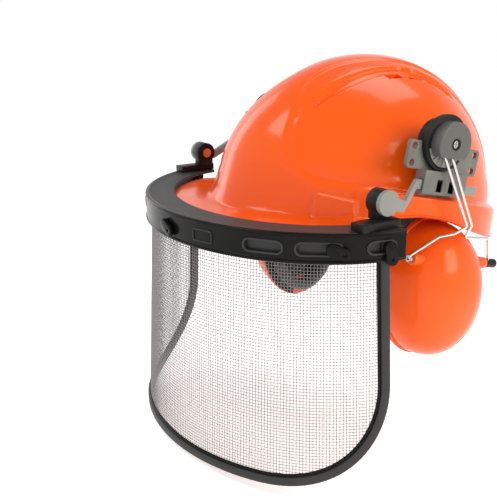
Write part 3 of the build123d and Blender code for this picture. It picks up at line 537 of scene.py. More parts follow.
turn = azimuths()
fold = np.minimum(turn, 2 * math.pi - turn)
degrees_round = np.degrees(fold)
gutter_z = np.interp(
    degrees_round,
    [0, 22, 27, 37, 46, 55, 68, 80, 92, 102, 130, 180],
    [16, 15, 9, 3, 3, 4, 6, 6.3, 6.3, 4.5, 1, 0],
)
gutter_out = np.interp(degrees_round, [0, 26, 36, 54, 68, 90, 130, 180], [0, 0, 2.0, 2.4, 6.2, 6.0, 5.6, 5.2])
gutter_width = np.interp(degrees_round, [0, 50, 68, 180], [8, 7, 4, 5])
rim_y = [-175, -125, -80, -50, -36, -20, -4, 10, 27, 60, 100, 165]
rim_z = [-49, -38, -27, -18, -12.5, -9, -9, -11, -15, -21, -26, -29]
skirt_flare = 3.0


def peak_edge(azimuth):
    """The peak's edge in a direction from the crown's middle."""
    half_width, reach, middle_back, below = 109.0, 98.0, -8.0, -4.8
    along = np.stack([np.sin(azimuth), -np.cos(azimuth)], axis=-1)
    middle = visor_origin[1] + middle_back * math.cos(visor_pitch) - below * math.sin(visor_pitch)
    start = crown["y"] - middle
    length = reach * math.cos(visor_pitch)
    a = (along[..., 0] / half_width) ** 2 + (along[..., 1] / length) ** 2
    b = start * along[..., 1] / length**2
    c = (start / length) ** 2 - 1
    t = (-b + np.sqrt(np.maximum(b * b - a * c, 0))) / a
    x, y = t * along[..., 0], crown["y"] + t * along[..., 1]
    back = (y - visor_origin[1] + below * math.sin(visor_pitch)) / math.cos(visor_pitch)
    return on_visor(x, back, below)


top_rows, gutter_rows, skirt_rows, fold_rows, run_rows = 84, 15, 20, 12, 16
gutter_half = 4.4
skirt_row = top_rows + gutter_rows
fold_row = skirt_row + skirt_rows
run_row = fold_row + fold_rows


def shell_rows():
    """The shell's outer surface, as rows of points from the crown's top to its lower edge."""
    top_angle = np.linspace(0.02, 1, top_rows)[:, None]
    reach = np.arccos((gutter_z + gutter_half + 0.6 - crown["low"]) / crown_rise)
    heights = list(crown["low"] + crown_rise * np.cos(top_angle * reach))
    heights += [gutter_z + drop for drop in np.linspace(gutter_half, -gutter_half + 0.4, gutter_rows)]
    points = [crown_point(turn, height) for height in heights]
    foot = points[-1]
    plane_z = np.array([p[2] for p in peak_plane_under(foot)])
    edge_out = peak_edge(fold * np.sign(math.pi - turn + 1e-9))
    is_peak = 1 - smooth(50, 66, degrees_round)
    bottom = np.interp(foot[:, 1], rim_y, rim_z)
    side_low = crown_point(turn, bottom)
    edge = edge_out * is_peak[:, None] + side_low * (1 - is_peak[:, None])
    corner_z = (plane_z + 1.0) * is_peak + (bottom * 0.55 + foot[:, 2] * 0.45) * (1 - is_peak)
    corner = crown_point(turn, corner_z)
    fillet = 9.0
    fall = foot[:, 2] - corner[:, 2]
    above = corner + (foot - corner) * np.minimum(0.6, fillet / np.maximum(fall, 1))[:, None]
    out_run = np.linalg.norm(edge - corner, axis=1)
    beyond = corner + (edge - corner) * np.minimum(0.6, fillet / np.maximum(out_run, 1))[:, None]
    for t in np.linspace(0.06, 1, skirt_rows):
        points.append(foot + (above - foot) * t)
    for t in np.linspace(0.08, 1, fold_rows):
        points.append((1 - t) ** 2 * above + 2 * t * (1 - t) * corner + t**2 * beyond)
    for t in np.linspace(0.07, 1, run_rows):
        points.append(beyond + (edge - beyond) * t)
    return np.array(points)


def peak_plane_under(points):
    """Where the peak's plane lies under or over these points."""
    rise = (points[:, 1] - visor_origin[1]) * math.tan(visor_pitch)
    z = visor_origin[2] + rise - 3.5 / math.cos(visor_pitch)
    return np.column_stack([points[:, 0], points[:, 1], z])


outer = shell_rows()
print("shell grid:", outer.shape[0], "rows of", outer.shape[1])

# %% Push the relief in and out
panel_depth, side_depth, channel_depth = 1.5, 1.1, 2.6
pocket_depth, bead_height, skirt_height = 3.4, 1.1, 58.0
places = unrolled(outer.reshape(-1, 3))
places[:, 0] = np.abs(places[:, 0])
all_z = outer[..., 2]
panel = depth_inside(places, panel_outline).reshape(all_z.shape)
side = depth_inside(places, side_outline).reshape(all_z.shape)
channel = depth_inside(places, channel_outline).reshape(all_z.shape)

below = smooth(-0.5, 0.5, (gutter_z - all_z) / gutter_width)
recess = panel_depth * smooth(-1.5, 2.2, panel) + side_depth * smooth(-1.2, 1.8, side)
recess *= (0.35 + 0.65 * smooth(12, 30, all_z)) * (1 - below)
recess += channel_depth * smooth(-0.4, 3.2, channel)

edge_rows = np.arange(len(all_z))[:, None]
on_peak_run = smooth(fold_row + 2, run_row, edge_rows) * (1 - smooth(50, 66, degrees_round))
stand_out = (gutter_out + skirt_flare * np.clip((gutter_z - all_z) / skirt_height, 0, 1)) * below
stand_out = stand_out * (1 - on_peak_run)

pocket_start, pocket_end, pocket_top = 40.0, 54.4, -5.6
pocket_edge = 1.3
in_pocket = smooth(pocket_start - pocket_edge, pocket_start + pocket_edge, degrees_round)
in_pocket = in_pocket * (1 - smooth(pocket_end - pocket_edge, pocket_end + pocket_edge, degrees_round))
pocket_line = pocket_top - (degrees_round - 47) * 0.08
in_pocket = in_pocket * smooth(-1.6, 1.6, pocket_line - all_z)
stand_out = stand_out + pocket_depth * in_pocket * (1 - 0.7 * on_peak_run)

rim_bead = smooth(run_row + 7, run_row + 10, edge_rows) * smooth(60, 68, degrees_round)
stand_out = stand_out + bead_height * rim_bead
shift = stand_out - recess

across = np.roll(outer, -1, axis=1) - np.roll(outer, 1, axis=1)
down = np.gradient(outer, axis=0)
outwards = np.cross(down, across)
outwards /= np.maximum(np.linalg.norm(outwards, axis=-1, keepdims=True), 1e-9)
middle = np.array([0.0, crown["y"], 10.0])
if np.mean(np.sum(outwards * (outer - middle), axis=-1)) < 0:
    outwards = -outwards
level = np.stack([np.sin(turn), -np.cos(turn), 0 * turn], axis=-1)[None]
lean_out = outwards * (all_z[..., None] > gutter_z[None, :, None] + 4) + level * (
    all_z[..., None] <= gutter_z[None, :, None] + 4
)
relief = outer + shift[..., None] * lean_out
print("relief from", round(-float(recess.max()), 1), "to", round(float(stand_out.max()), 1), "mm")

# %% Close the wall and cut the vents
slope_across = np.roll(relief, -1, axis=1) - np.roll(relief, 1, axis=1)
slope_down = np.gradient(relief, axis=0)
wall_way = np.cross(slope_down, slope_across)
wall_way /= np.maximum(np.linalg.norm(wall_way, axis=-1, keepdims=True), 1e-9)
wall_way *= np.sign(np.sum(wall_way * lean_out, axis=-1, keepdims=True) + 1e-9)

inner_rows = [146, 141, 136, 131, 127, 123, 119, 113, 107, 101, 97, 93, 89, 85, 80, 74, 68]
inner_rows += [60, 52, 44, 36, 28, 20, 12, 6, 2]
lip = relief[-1] - wall_way[-1] * shell_wall / 2 + (relief[-1] - relief[-2]) * 0.6
inside = [relief[row] - wall_way[row] * shell_wall for row in inner_rows]
inside[0] = relief[-1] - wall_way[-1] * shell_wall
rings = np.concatenate([relief, lip[None], np.array(inside)])
columns = len(turn)
top_outer = len(rings) * columns
points = np.vstack([
    rings.reshape(-1, 3),
    [[0, crown["y"] + crown_lean, crown["high"]], [0, crown["y"] + crown_lean, crown["high"] - shell_wall]],
])
faces = grid_faces(len(rings), columns)
last = (len(rings) - 1) * columns
for column in range(columns):
    after = (column + 1) % columns
    faces.append((column, after, top_outer))
    faces.append((last + after, last + column, top_outer + 1))
helmet_shell = outward(make_piece("helmet_shell", points, faces, smooth_limit=180))

vent_length, vent_width, vent_reach = 13.5, 6.6, 9.0
vent_places = [(47.0, -18.0, 94.0), (48.5, 2.0, 95.5), (52.0, 20.5, 93.5)]
corners, vent_faces = [], []
for x, y, z in vent_places:
    for mirror in (1, -1):
        spot = np.array([mirror * x, y, z])
        away = spot - np.array([0, crown["y"] + crown_lean, 0])
        away = away * np.array([1, 1, 1.15])
        away /= np.linalg.norm(away)
        along = np.array([0.0, 1, 0]) + np.array([mirror * 0.12, 0, -away[1] / max(away[2], 0.2)])
        along /= np.linalg.norm(along)
        over = np.cross(along, away)
        first = len(corners)
        for c in (-1, 1):
            for a, b in ((-1, -1), (1, -1), (1, 1), (-1, 1)):
                skew = 1.2 * b
                ahead = along * (a * vent_length / 2 + skew)
                corners.append(spot + ahead + over * b * vent_width / 2 + away * c * vent_reach)
        vent_faces += [
            (first, first + 1, first + 2, first + 3),
            (first + 7, first + 6, first + 5, first + 4),
            *[(first + k, first + 4 + k, first + 4 + (k + 1) % 4, first + (k + 1) % 4) for k in range(4)],
        ]
cutter = outward(make_piece("vent_cutter", corners, vent_faces))
cut_away(helmet_shell, cutter)
shade(helmet_shell, 50)
wear(helmet_shell, orange, "helmet", "shell")
print("shell:", len(helmet_shell.data.polygons), "faces, vents cut:", 2 * len(vent_places))

# %% [markdown]
# ## Moulded and turned parts
# The carriers, discs, hinge parts and the harness have their true shape already, but moulded parts never
# have knife edges. A copy of each is welded, its flat faces are merged, and its edges are rounded by
# the width that such a part has, so that they catch the light.

# %% Round the edges of the CAD's parts


def softened(node, material, width, reshape=None):
    """A copy of a CAD node with rounded edges, standing for it; `reshape` moves its points first."""
    source = frame["nodes"][node]
    work = bmesh.new()
    work.from_mesh(source.data)
    for point in work.verts if reshape else ():
        point.co = reshape(point.co / mm) * mm
    bmesh.ops.remove_doubles(work, verts=work.verts, dist=0.002 * mm)
    bmesh.ops.dissolve_limit(work, angle_limit=math.radians(0.6), verts=work.verts, edges=work.edges)
    mesh = bpy.data.meshes.new(node + "_part")
    work.to_mesh(mesh)
    work.free()
    for name in ("custom_normal", "sharp_face"):
        if name in mesh.attributes:
            mesh.attributes.remove(mesh.attributes[name])
    piece = bpy.data.objects.new(node + "_part", mesh)
    bpy.context.scene.collection.objects.link(piece)
    round_edges(piece, width)
    return wear(piece, material, source["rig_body"], node)


def tucked_key(point):
    """The keys' outer ends stop inside the shell's recessed panels."""
    reach = math.hypot(point.x, point.y)
    share = (reach - key_tuck) / reach if reach > key_reach else 1.0
    return Vector((point.x * share, point.y * share, point.z))


def full_disc(point):
    """The pivot's disc, a little wider, so that its rim shows round the click plate."""
    y = pivot_y + (point.y - pivot_y) * disc_grow
    return Vector((point.x, y, pivot_z + (point.z - pivot_z) * disc_grow))


def tucked_blade(point):
    """The carrier's blade leans into the shell's gutter."""
    if point.z >= blade_top:
        return point
    x = point.x - math.copysign(blade_tuck, point.x)
    return Vector((x, point.y, max(point.z, blade_low)))


key_reach, key_tuck = 89.0, 4.5
pivot_y, pivot_z, disc_grow = -16.0, 45.8, 1.08
blade_top, blade_low, blade_tuck = 8.1, 5.6, 3.0
single_parts = {
    "ratchet_housing": (harness_black, "harness_plastic", 0.5),
    "ratchet_cover": (harness_black, "harness_plastic", 0.4),
    "adjuster_knob": (black_satin, "harness_plastic", 0.5),
    "headband": (harness_black, "harness_plastic", 0.35),
    "harness_clips": (harness_black, "harness_plastic", 0.4),
    "rack_band_left": (harness_black, "harness_plastic", 0.2),
    "rack_band_right": (harness_black, "harness_plastic", 0.2),
    "turn_button_front": (black_gloss, "black_plastic", 0.55),
    "turn_button_left": (black_gloss, "black_plastic", 0.55),
    "turn_button_right": (black_gloss, "black_plastic", 0.55),
    "post_button_left": (black_gloss, "black_plastic", 0.55),
    "post_button_right": (black_gloss, "black_plastic", 0.55),
}
side_parts = {
    "carrier": (grey_satin, "grey_plastic", 0.45),
    "visor_arm": (pale_grey, "grey_plastic", 0.4),
    "pivot_boss": (black_satin, "black_plastic", 0.4),
    "pivot_disc": (black_satin, "black_plastic", 0.5),
    "pivot_block": (dark_grey, "black_plastic", 0.4),
    "hinge_hub": (black_satin, "black_plastic", 0.5),
    "hinge_shoe": (black_satin, "black_plastic", 0.25),
}
reshapes = {"harness_clips": tucked_key, "carrier": tucked_blade, "pivot_disc": full_disc}
for node, (material, slot, width) in single_parts.items():
    softened(node, material, width, reshapes.get(node))
for node, (material, slot, width) in side_parts.items():
    for side_name in ("left", "right"):
        softened(node + "_" + side_name, material, width, reshapes.get(node))
print("rounded parts:", len(single_parts) + 2 * len(side_parts))

# %% Plain turned parts keep their CAD shape
kept = {
    "pivot_screw": turned_steel,
    "flip_pin": turned_steel,
    "hinge_pin": turned_steel,
    "wire_barrel": black_satin,
    "wire_front": bright_steel,
    "wire_rear": bright_steel,
    "wire_knob": turned_steel,
    "wire_grommet": black_satin,
}
for node, material in kept.items():
    for side_name in ("left", "right"):
        piece = frame["nodes"][node + "_" + side_name]
        piece.data.materials.clear()
        piece.data.materials.append(material)
frame["nodes"]["ratchet_pinion"].data.materials.clear()
frame["nodes"]["ratchet_pinion"].data.materials.append(harness_black)
print("kept as made:", 2 * len(kept) + 1)

# %% [markdown]
# ## The brow guard
# A stiff black angle bent to a half oval: a flat flange on top and a wall in front. Its section never
# changes, so it is a sweep: the same profile is set at many places round the oval. The oval is known by
# a rule, and a point of the profile is an inset from the oval and a height in the visor's pitched plane.

# %% The oval that guard, rim and mesh follow
guard_half_width, guard_reach, guard_back = 140.7, 119.7, -3.15
guard_rear, guard_height, flange_thick = -14.7, 20.5, 2.5
visor_low, visor_spread = -188.5, 1.08


def oval(angle, inset, up):
    """A point of the visor: angle from the wearer's left round the front, inset from the guard's face."""
    drop = np.clip((-guard_height - np.asarray(up, float)) / (-guard_height - visor_low), 0, 1)
    grow = 1 + (visor_spread - 1) * drop
    x = (guard_half_width - inset) * grow * np.cos(angle)
    back = guard_back - (guard_reach - inset) * grow * np.sin(angle)
    return on_visor(x, back, up)


def oval_normal(angle):
    """The way out of the oval at an angle."""
    angle = np.asarray(angle, float)
    aside, ahead = np.cos(angle) / guard_half_width, np.sin(angle) / guard_reach
    length = np.hypot(aside, ahead)
    return (aside / length)[..., None] * np.array([1.0, 0, 0]) - (ahead / length)[..., None] * visor_back


def oval_angle(back, inset, up):
    """The angle at which the oval passes a place fore and aft, on the wearer's left."""
    drop = np.clip((-guard_height - np.asarray(up, float)) / (-guard_height - visor_low), 0, 1)
    grow = 1 + (visor_spread - 1) * drop
    return np.arcsin(np.clip((guard_back - back) / ((guard_reach - inset) * grow), 0, 1))


print("oval", 2 * guard_half_width, "x", guard_reach, "mm")

# %% Sweep the guard's angle section
guard_profile = [
    (24.0, -1.9), (24.0, -0.6), (23.7, -0.15), (23.2, 0.0), (13.0, 0.0), (3.6, 0.0), (3.1, 0.25),
    (2.2, 0.45), (1.1, 0.4), (0.35, -0.05), (0.0, -0.8), (0.0, -1.7), (0.3, -2.1), (0.3, -18.2),
    (-0.1, -18.6), (-0.45, -19.2), (-0.45, -20.0), (-0.1, -20.5), (0.6, -20.7), (2.2, -20.7),
    (2.6, -20.3), (2.6, -10.0), (2.6, -4.2), (2.9, -3.2), (3.6, -2.6), (4.4, -2.5), (13.0, -2.5),
    (23.2, -2.5), (23.8, -2.3),
]
guard_stations = 180
rings = []
for inset, up in guard_profile:
    start = oval_angle(guard_rear, inset, 0.0)
    turns = start + (math.pi - 2 * start) * np.linspace(0, 1, guard_stations)
    rings.append(oval(turns, inset, up))
guard_piece = ring_piece("guard", np.array(rings).transpose(1, 0, 2))
print("guard:", len(guard_piece.data.polygons), "faces")

# %% Cut the slots and the front button's hole


def wall_place(middle, along, up, out=0.0):
    """A place on the guard's wall: distance along it from a middle angle, height, and distance out."""
    pace = math.hypot(guard_half_width * math.sin(middle), guard_reach * math.cos(middle))
    angle = middle - np.asarray(along, float) / pace
    return oval(angle, 0.0, up) + oval_normal(angle) * np.asarray(out, float)[..., None]


def stadium(length, height, steps=10):
    """The outline of a slot with round ends, as two rows: along and up."""
    turns = np.linspace(-math.pi / 2, math.pi / 2, steps)
    right = np.stack([(length - height) / 2 + height / 2 * np.cos(turns), height / 2 * np.sin(turns)])
    return np.concatenate([right, -right], axis=1)


slot_ends = ((57, 45), (41, 27), (19, 9.5))
slot_height, slot_level = 8.2, -10.4
slots = []
for ahead, behind in slot_ends:
    for mirrored in (False, True):
        middle = math.radians((ahead + behind) / 2)
        pace = math.hypot(guard_half_width * math.sin(middle), guard_reach * math.cos(middle))
        length = math.radians(ahead - behind) * pace
        slots.append((math.pi - middle if mirrored else middle, length))
blade_points, blade_faces = [], []
cuts = [(middle, *stadium(length, slot_height)) for middle, length in slots]
cuts.append((math.pi / 2, *stadium(5.7, 5.6)))
for middle, along, up in cuts:
    first, count = len(blade_points), len(along)
    for out in (-7.0, 4.0):
        blade_points += list(wall_place(middle, along, slot_level + up, np.full(count, out)))
    blade_faces += grid_faces(2, count, start=first)
    blade_faces.append(tuple(first + k for k in range(count)))
    blade_faces.append(tuple(first + count + k for k in reversed(range(count))))
cut_away(guard_piece, outward(make_piece("slot_cutter", blade_points, blade_faces)))
shade(guard_piece)
wear(guard_piece, black_gloss, "visor", "brow_guard")
guard_piece.data.materials.append(flange_grey)
flange_inset = 3.0
for face in guard_piece.data.polygons:
    place = np.array(face.center) / mm - visor_origin
    back, up = place @ visor_back, place @ visor_up
    spot = math.hypot(
        place[0] / (guard_half_width - flange_inset), (back - guard_back) / (guard_reach - flange_inset)
    )
    face.material_index = 1 if up > -flange_thick - 0.1 and spot < 1 else 0
print("guard:", len(guard_piece.data.polygons), "faces with", len(slots), "slots")

# %% Raised lips round the slots, and a blank plate on the wall


def wall_ring(name, middle, along, up, section):
    """A closed bead on the guard's wall; the section is distance outside the outline and out."""
    along, up = np.asarray(along), np.asarray(up)
    ahead = np.roll(along, -1) - np.roll(along, 1)
    rise = np.roll(up, -1) - np.roll(up, 1)
    length = np.maximum(np.hypot(ahead, rise), 1e-9)
    rows = []
    for beside, out in section:
        level = slot_level + up - ahead / length * beside
        rows.append(wall_place(middle, along + rise / length * beside, level, 0 * along + out))
    return ring_piece(name, np.array(rows).transpose(1, 0, 2), loop=True)


lip_section = rounded_box_section(1.5, 3.9, 0.45, 3, (0.25, -1.2))
lips = [
    wall_ring("slot_lip_" + str(k), middle, *stadium(length, slot_height, 14), lip_section)
    for k, (middle, length) in enumerate(slots)
]
plate_half, plate_high, plate_round = 9.0, 4.2, 0.8
plate_along, plate_up = np.array(rounded_box_section(2 * plate_half, 2 * plate_high, plate_round, 3)).T
plate_section = rounded_box_section(0.9, 1.0, 0.35, 2)
lips.append(wall_ring("blank_plate_rim", math.radians(72), plate_along, plate_up, plate_section))
for lip in lips:
    wear(lip, rim_grey, "visor")
print("lips:", len(lips))

# %% [markdown]
# ## The visor's rim
# One moulding: a strip behind the guard's wall, a post down each side, round lower corners and a rail
# across the front. The posts, corners and rail keep one section, so they are swept along the outline;
# a thin lip inside it holds the mesh, in black gloss that paints the shadow inside the rim.

# %% Route of the rim
rim_inset, rim_thick, rim_width = 2.9, 4.0, 8.0
strip_top, strip_low = -3.5, -21.5
post_rear, corner_radius = -24.2, 78.0
corner_back, corner_up = post_rear - corner_radius, visor_low + corner_radius


def rim_route(margin, inset, top, spacing=4.0):
    """The rim's line, a margin inside its outer edge: down the left post, across and up the right one."""
    radius = corner_radius - margin
    post_up = np.arange(top, corner_up, -spacing)
    places = [(post_rear - margin, up) for up in post_up]
    for turn_down in np.linspace(0, math.pi / 2, 28):
        places.append((corner_back + radius * math.cos(turn_down), corner_up - radius * math.sin(turn_down)))
    angles = [float(oval_angle(back, inset, up)) for back, up in places]
    ups = [up for _, up in places]
    rail = np.linspace(angles[-1], math.pi / 2, 30)[1:]
    angles += list(rail)
    ups += [visor_low + margin] * len(rail)
    angles += [math.pi - a for a in angles[-2::-1]]
    ups += ups[-2::-1]
    angles, ups = np.array(angles), np.array(ups)
    return oval(angles, inset, ups), oval_normal(angles)


def route_frame(path, out):
    """The way across a route on a surface, square to the route and to the way out."""
    ahead = np.gradient(path, axis=0)
    across = np.cross(ahead, out)
    across /= np.linalg.norm(across, axis=1)[:, None]
    out = np.cross(across, ahead)
    return across, out / np.linalg.norm(out, axis=1)[:, None]


def rim_sweep(name, margin, section, top=strip_top):
    path, out = rim_route(margin, rim_inset, top)
    across, out = route_frame(path, out)
    return sweep(name, path, section, across, out)


half = rim_width / 2
rim_profile = [
    (-half, -rim_thick + 0.5), (-half, -0.9), (-half + 0.3, -0.3), (-half + 0.9, 0.0), (half - 1.6, 0.0),
    (half - 1.1, -0.25), (half - 0.9, -0.8), (half - 0.9, -1.6), (half, -1.8), (half, -rim_thick + 0.6),
    (half - 0.6, -rim_thick), (-half + 0.6, -rim_thick),
]
rim_piece = rim_sweep("visor_frame", half, rim_profile)
# The lip is a real part, and its black gloss is painted shadow inside the rim.
shadow_lip_piece = rim_sweep("mesh_shadow_lip", rim_width, rounded_box_section(2.0, 1.7, 0.6, 3, (0.2, -1.6)), strip_low)
strip_start = float(oval_angle(post_rear - rim_width, rim_inset, slot_level))
strip_turns = np.linspace(strip_start, math.pi - strip_start, 120)
strip_mid = (strip_top + strip_low) / 2
strip_path = oval(strip_turns, rim_inset + rim_thick / 2, strip_mid)
strip_piece = sweep(
    "visor_strip", strip_path, rounded_box_section(strip_top - strip_low, rim_thick, 0.6, 3),
    np.tile(visor_up, (len(strip_path), 1)), oval_normal(strip_turns),
)
for piece, material in ((rim_piece, rim_grey), (shadow_lip_piece, black_gloss), (strip_piece, rim_grey)):
    wear(piece, material, "visor", "visor_rim")
print("rim:", len(rim_piece.data.polygons) + len(shadow_lip_piece.data.polygons), "faces")

# %% [markdown]
# ## The woven wire
# The visor's window is real wire cloth: straight wires down it, and wires across that pass over and
# under them in turn. Geometry Nodes suit this well. Two bare grids of points give the wires' lines, an
# attribute says which way each crossing is pushed, and the tree bends each line and gives it a round
# section. Three sides are enough for a wire half a millimetre thick.

# %% A tree builder for Geometry Nodes


class Maker(Graph):
    """A Geometry Nodes tree with named sizes, run on a piece and baked to a plain mesh."""

    def __init__(self, name, sizes):
        self.tree = bpy.data.node_groups.new(name, "GeometryNodeTree")
        self.tree.is_modifier = True
        for way in ("INPUT", "OUTPUT"):
            self.tree.interface.new_socket("Geometry", in_out=way, socket_type="NodeSocketGeometry")
        for label in sizes:
            self.tree.interface.new_socket(label, in_out="INPUT", socket_type="NodeSocketFloat")
        self.start = self.tree.nodes.new("NodeGroupInput")
        self.geometry = self.size("Geometry")

    def size(self, label):
        return Reading(self, self.start.outputs[label])

    def field(self, name, kind="FLOAT"):
        """An attribute of the points, read by its name."""
        return self.node("GeometryNodeInputNamedAttribute", {"data_type": kind}, {"Name": name})

    def turned(self, way):
        """A rotation that carries z to this way."""
        return self.node("FunctionNodeAlignRotationToVector", {"axis": "Z"}, {"Vector": way})

    def spread_out(self, points, piece, rotation):
        """A copy of a piece on every point."""
        inputs = {"Points": points, "Instance": piece, "Rotation": rotation}
        return self.node("GeometryNodeInstanceOnPoints", {}, inputs)

    def finish(self, geometry, material):
        real = self.node("GeometryNodeRealizeInstances", {}, {"Geometry": geometry})
        worn = self.node("GeometryNodeSetMaterial", {}, {"Geometry": real, "Material": material})
        end = self.tree.nodes.new("NodeGroupOutput")
        self.tree.links.new(worn.socket, end.inputs["Geometry"])

    def run(self, piece, values, smooth_limit=180.0):
        """Runs the tree on a piece; the values are in millimetres."""
        modifier = piece.modifiers.new(self.tree.name, "NODES")
        modifier.node_group = self.tree
        for item in self.tree.interface.items_tree:
            if item.in_out == "INPUT" and item.name in values:
                modifier[item.identifier] = values[item.name] * mm
        bpy.context.view_layer.update()
        bake_modifiers(piece)
        shade(piece, smooth_limit)
        return piece


def set_field(piece, name, kind, values):
    """Stores a number or a vector on each point of a piece."""
    attribute = piece.data.attributes.new(name, kind, "POINT")
    label = "value" if kind == "FLOAT" else "vector"
    attribute.data.foreach_set(label, np.asarray(values, np.float32).ravel())


def weave_maker():
    """Bends lines of points in and out of a surface and gives them a wire's section."""
    maker = Maker("woven_wire", ("Wire Radius", "Weave Depth"))
    push = maker.field("over") * maker.size("Weave Depth")
    out = maker.field("out", "FLOAT_VECTOR")
    offset = maker.node("ShaderNodeVectorMath", {"operation": "SCALE"}, {0: out, 3: push})
    bent = maker.node("GeometryNodeSetPosition", {}, {"Geometry": maker.geometry, "Offset": offset})
    lines = maker.node("GeometryNodeMeshToCurve", {}, {"Mesh": bent})
    circle = {"Resolution": 3, "Radius": maker.size("Wire Radius")}
    ring = maker.node("GeometryNodeCurvePrimitiveCircle", {}, circle)
    parts = {"Curve": lines, "Profile Curve": ring, "Fill Caps": True}
    maker.finish(maker.node("GeometryNodeCurveToMesh", {}, parts), mesh_steel)
    return maker


print("tree builder ready")

# %% Lay out the wires' lines and weave them
mesh_inset, pitch, tuck = 4.9, 2.3, 1.6
wire_radius, weave_depth = 0.24, 0.24
middle_up = -95.0
fine_turns = np.linspace(0, math.pi, 2001)
fine_line = oval(fine_turns, mesh_inset, middle_up)
run_length = np.concatenate([[0], np.cumsum(np.linalg.norm(np.diff(fine_line, axis=0), axis=1))])
columns = int(run_length[-1] / pitch)
angles = np.interp((np.arange(columns) + 0.5) * run_length[-1] / columns, run_length, fine_turns)
ups = np.arange(strip_low + tuck, visor_low + rim_width - tuck, -pitch)
lattice = np.array([oval(angles, mesh_inset, up) for up in ups])
back_of = (lattice - visor_origin) @ visor_back
edge_back, edge_radius = post_rear - rim_width + tuck, corner_radius - rim_width + tuck
past_corner = np.hypot(
    np.clip(back_of - corner_back, 0, None), np.clip(corner_up - ups[:, None], 0, None)
) > edge_radius
covered = (back_of < edge_back) & ~((back_of > corner_back) & (ups[:, None] < corner_up) & past_corner)
parity = (np.add.outer(np.arange(len(ups)), np.arange(columns)) % 2) * 2 - 1
number = np.full(covered.shape, -1)
number[covered] = np.arange(covered.sum())
weave = weave_maker()
for name, axis, side_sign in (("wires_down", 0, 1.0), ("wires_across", 1, -1.0)):
    first = number[:-1, :] if axis == 0 else number[:, :-1]
    after = number[1:, :] if axis == 0 else number[:, 1:]
    joined = (first >= 0) & (after >= 0)
    edges = np.stack([first[joined], after[joined]], axis=1).tolist()
    piece = make_piece("mesh_" + name, lattice[covered], [], edges)
    out = np.broadcast_to(oval_normal(angles)[None], lattice.shape)[covered]
    set_field(piece, "over", "FLOAT", parity[covered] * side_sign)
    set_field(piece, "out", "FLOAT_VECTOR", out)
    weave.run(piece, {"Wire Radius": wire_radius, "Weave Depth": weave_depth})
    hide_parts("visor_mesh")
    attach(piece, "visor")
    piece.data.calc_loop_triangles()
    print(piece.name, len(piece.data.loop_triangles), "triangles")

# %% [markdown]
# ## The ear cups
# A cup is a deep egg-shaped bowl with a flange round its mouth. Its outline is an oval that leans back,
# and it closes in a superellipse, fuller than a round dome. Rings of points set on that rule, outside
# and inside, make the moulding with its wall. The right cup is the left one with its x turned round.

# %% Cup frame and moulding
cup_place = np.array([85.0, 23.6, -68.0])
cup_lean = math.radians(12.5)
cup_tall = np.array([0.0, -math.sin(cup_lean), math.cos(cup_lean)])
cup_wide = np.array([0.0, math.cos(cup_lean), math.sin(cup_lean)])
cup_half_height, cup_half_width, cup_depth, cup_wall = 55.5, 42.5, 43.0, 2.4
cup_power = 2.35
cup_columns = 96
round_turns = np.linspace(0, 2 * math.pi, cup_columns, endpoint=False)


def cup_ring_at(rise, grow, size=1.0):
    """A ring of the cup: distance out from its mouth, added to its half sizes, and scaled."""
    tall = (cup_half_height + grow) * size * np.sin(round_turns)
    wide = (cup_half_width + grow) * size * np.cos(round_turns)
    ring = cup_place + tall[:, None] * cup_tall + wide[:, None] * cup_wide
    return ring + np.array([rise, 0, 0])


def mirrored_points(points, side_name):
    points = np.array(points, float)
    if side_name == "right":
        points[..., 0] *= -1
    return points


def cup_body():
    """Outer rings from the mouth to the pole, then inner rings back to the mouth."""
    steps = np.sin(np.linspace(0, math.pi / 2, 30)) ** 0.9
    rings = []
    for inset, order in ((0.0, 1), (cup_wall, -1)):
        shell_steps = [
            cup_ring_at(share * (cup_depth - inset), -inset, (1 - share**cup_power) ** (1 / cup_power))
            for share in steps[:-1]
        ]
        pole = cup_place + np.array([cup_depth - inset, 0, 0])
        shell_steps.append(cup_ring_at(cup_depth - inset, -inset, 0.004) * 0.5 + pole * 0.5)
        rings += shell_steps[::order]
    return np.array(rings)


flange_section = [
    (17.8, -2.7), (17.8, -0.4), (17.2, 0.0), (0.9, 0.0), (0.3, 0.5), (0.0, 1.1), (-0.6, 1.2),
    (-1.3, 0.8), (-1.7, 0.0), (-1.7, -2.2), (-1.4, -2.8), (-0.8, -3.0), (17.2, -3.0),
]
dark_reach = 0.85
for side_name in ("left", "right"):
    body = "muff_" + side_name
    middle = mirrored_points(cup_place, side_name)
    cup = ring_piece("cup_" + side_name, mirrored_points(cup_body(), side_name), True, 40)
    wear(cup, orange, body, "ear_cup_" + side_name)
    rings = np.array([cup_ring_at(rise, -inset) for inset, rise in flange_section])
    flange = ring_piece("cup_flange_" + side_name, mirrored_points(rings, side_name), True, 40)
    wear(flange, orange, body, "cup_ring_" + side_name)
    flange.data.materials.append(black_satin)
    for face in flange.data.polygons:
        from_cup = np.array(face.center) / mm - middle
        reach = math.hypot(from_cup @ cup_tall / cup_half_height, from_cup @ cup_wide / cup_half_width)
        face.material_index = 1 if reach < dark_reach else 0
print("cups:", len(cup.data.polygons), "faces each")

# %% Bosses where the wires enter
axis_x, axis_y, axis_z = 105.0, 22.6, -42.0
boss_radius, boss_reach = 4.8, 41.0
cap_turns = np.linspace(0, 2 * math.pi, 28, endpoint=False)
cap_steps = [
    (22.0, 1.25), (30.0, 1.12), (36.0, 1.0), (40.2, 1.0), (40.8, 0.93), (boss_reach, 0.82),
    (boss_reach, 0.42), (39.5, 0.4),
]


def boss_rings(way):
    rings = []
    for along, size in cap_steps:
        around = np.stack([np.cos(cap_turns), 0 * cap_turns, np.sin(cap_turns)], axis=1) * boss_radius * size
        rings.append(np.array([axis_x, axis_y + way * along, axis_z]) + around)
    return np.array(rings)


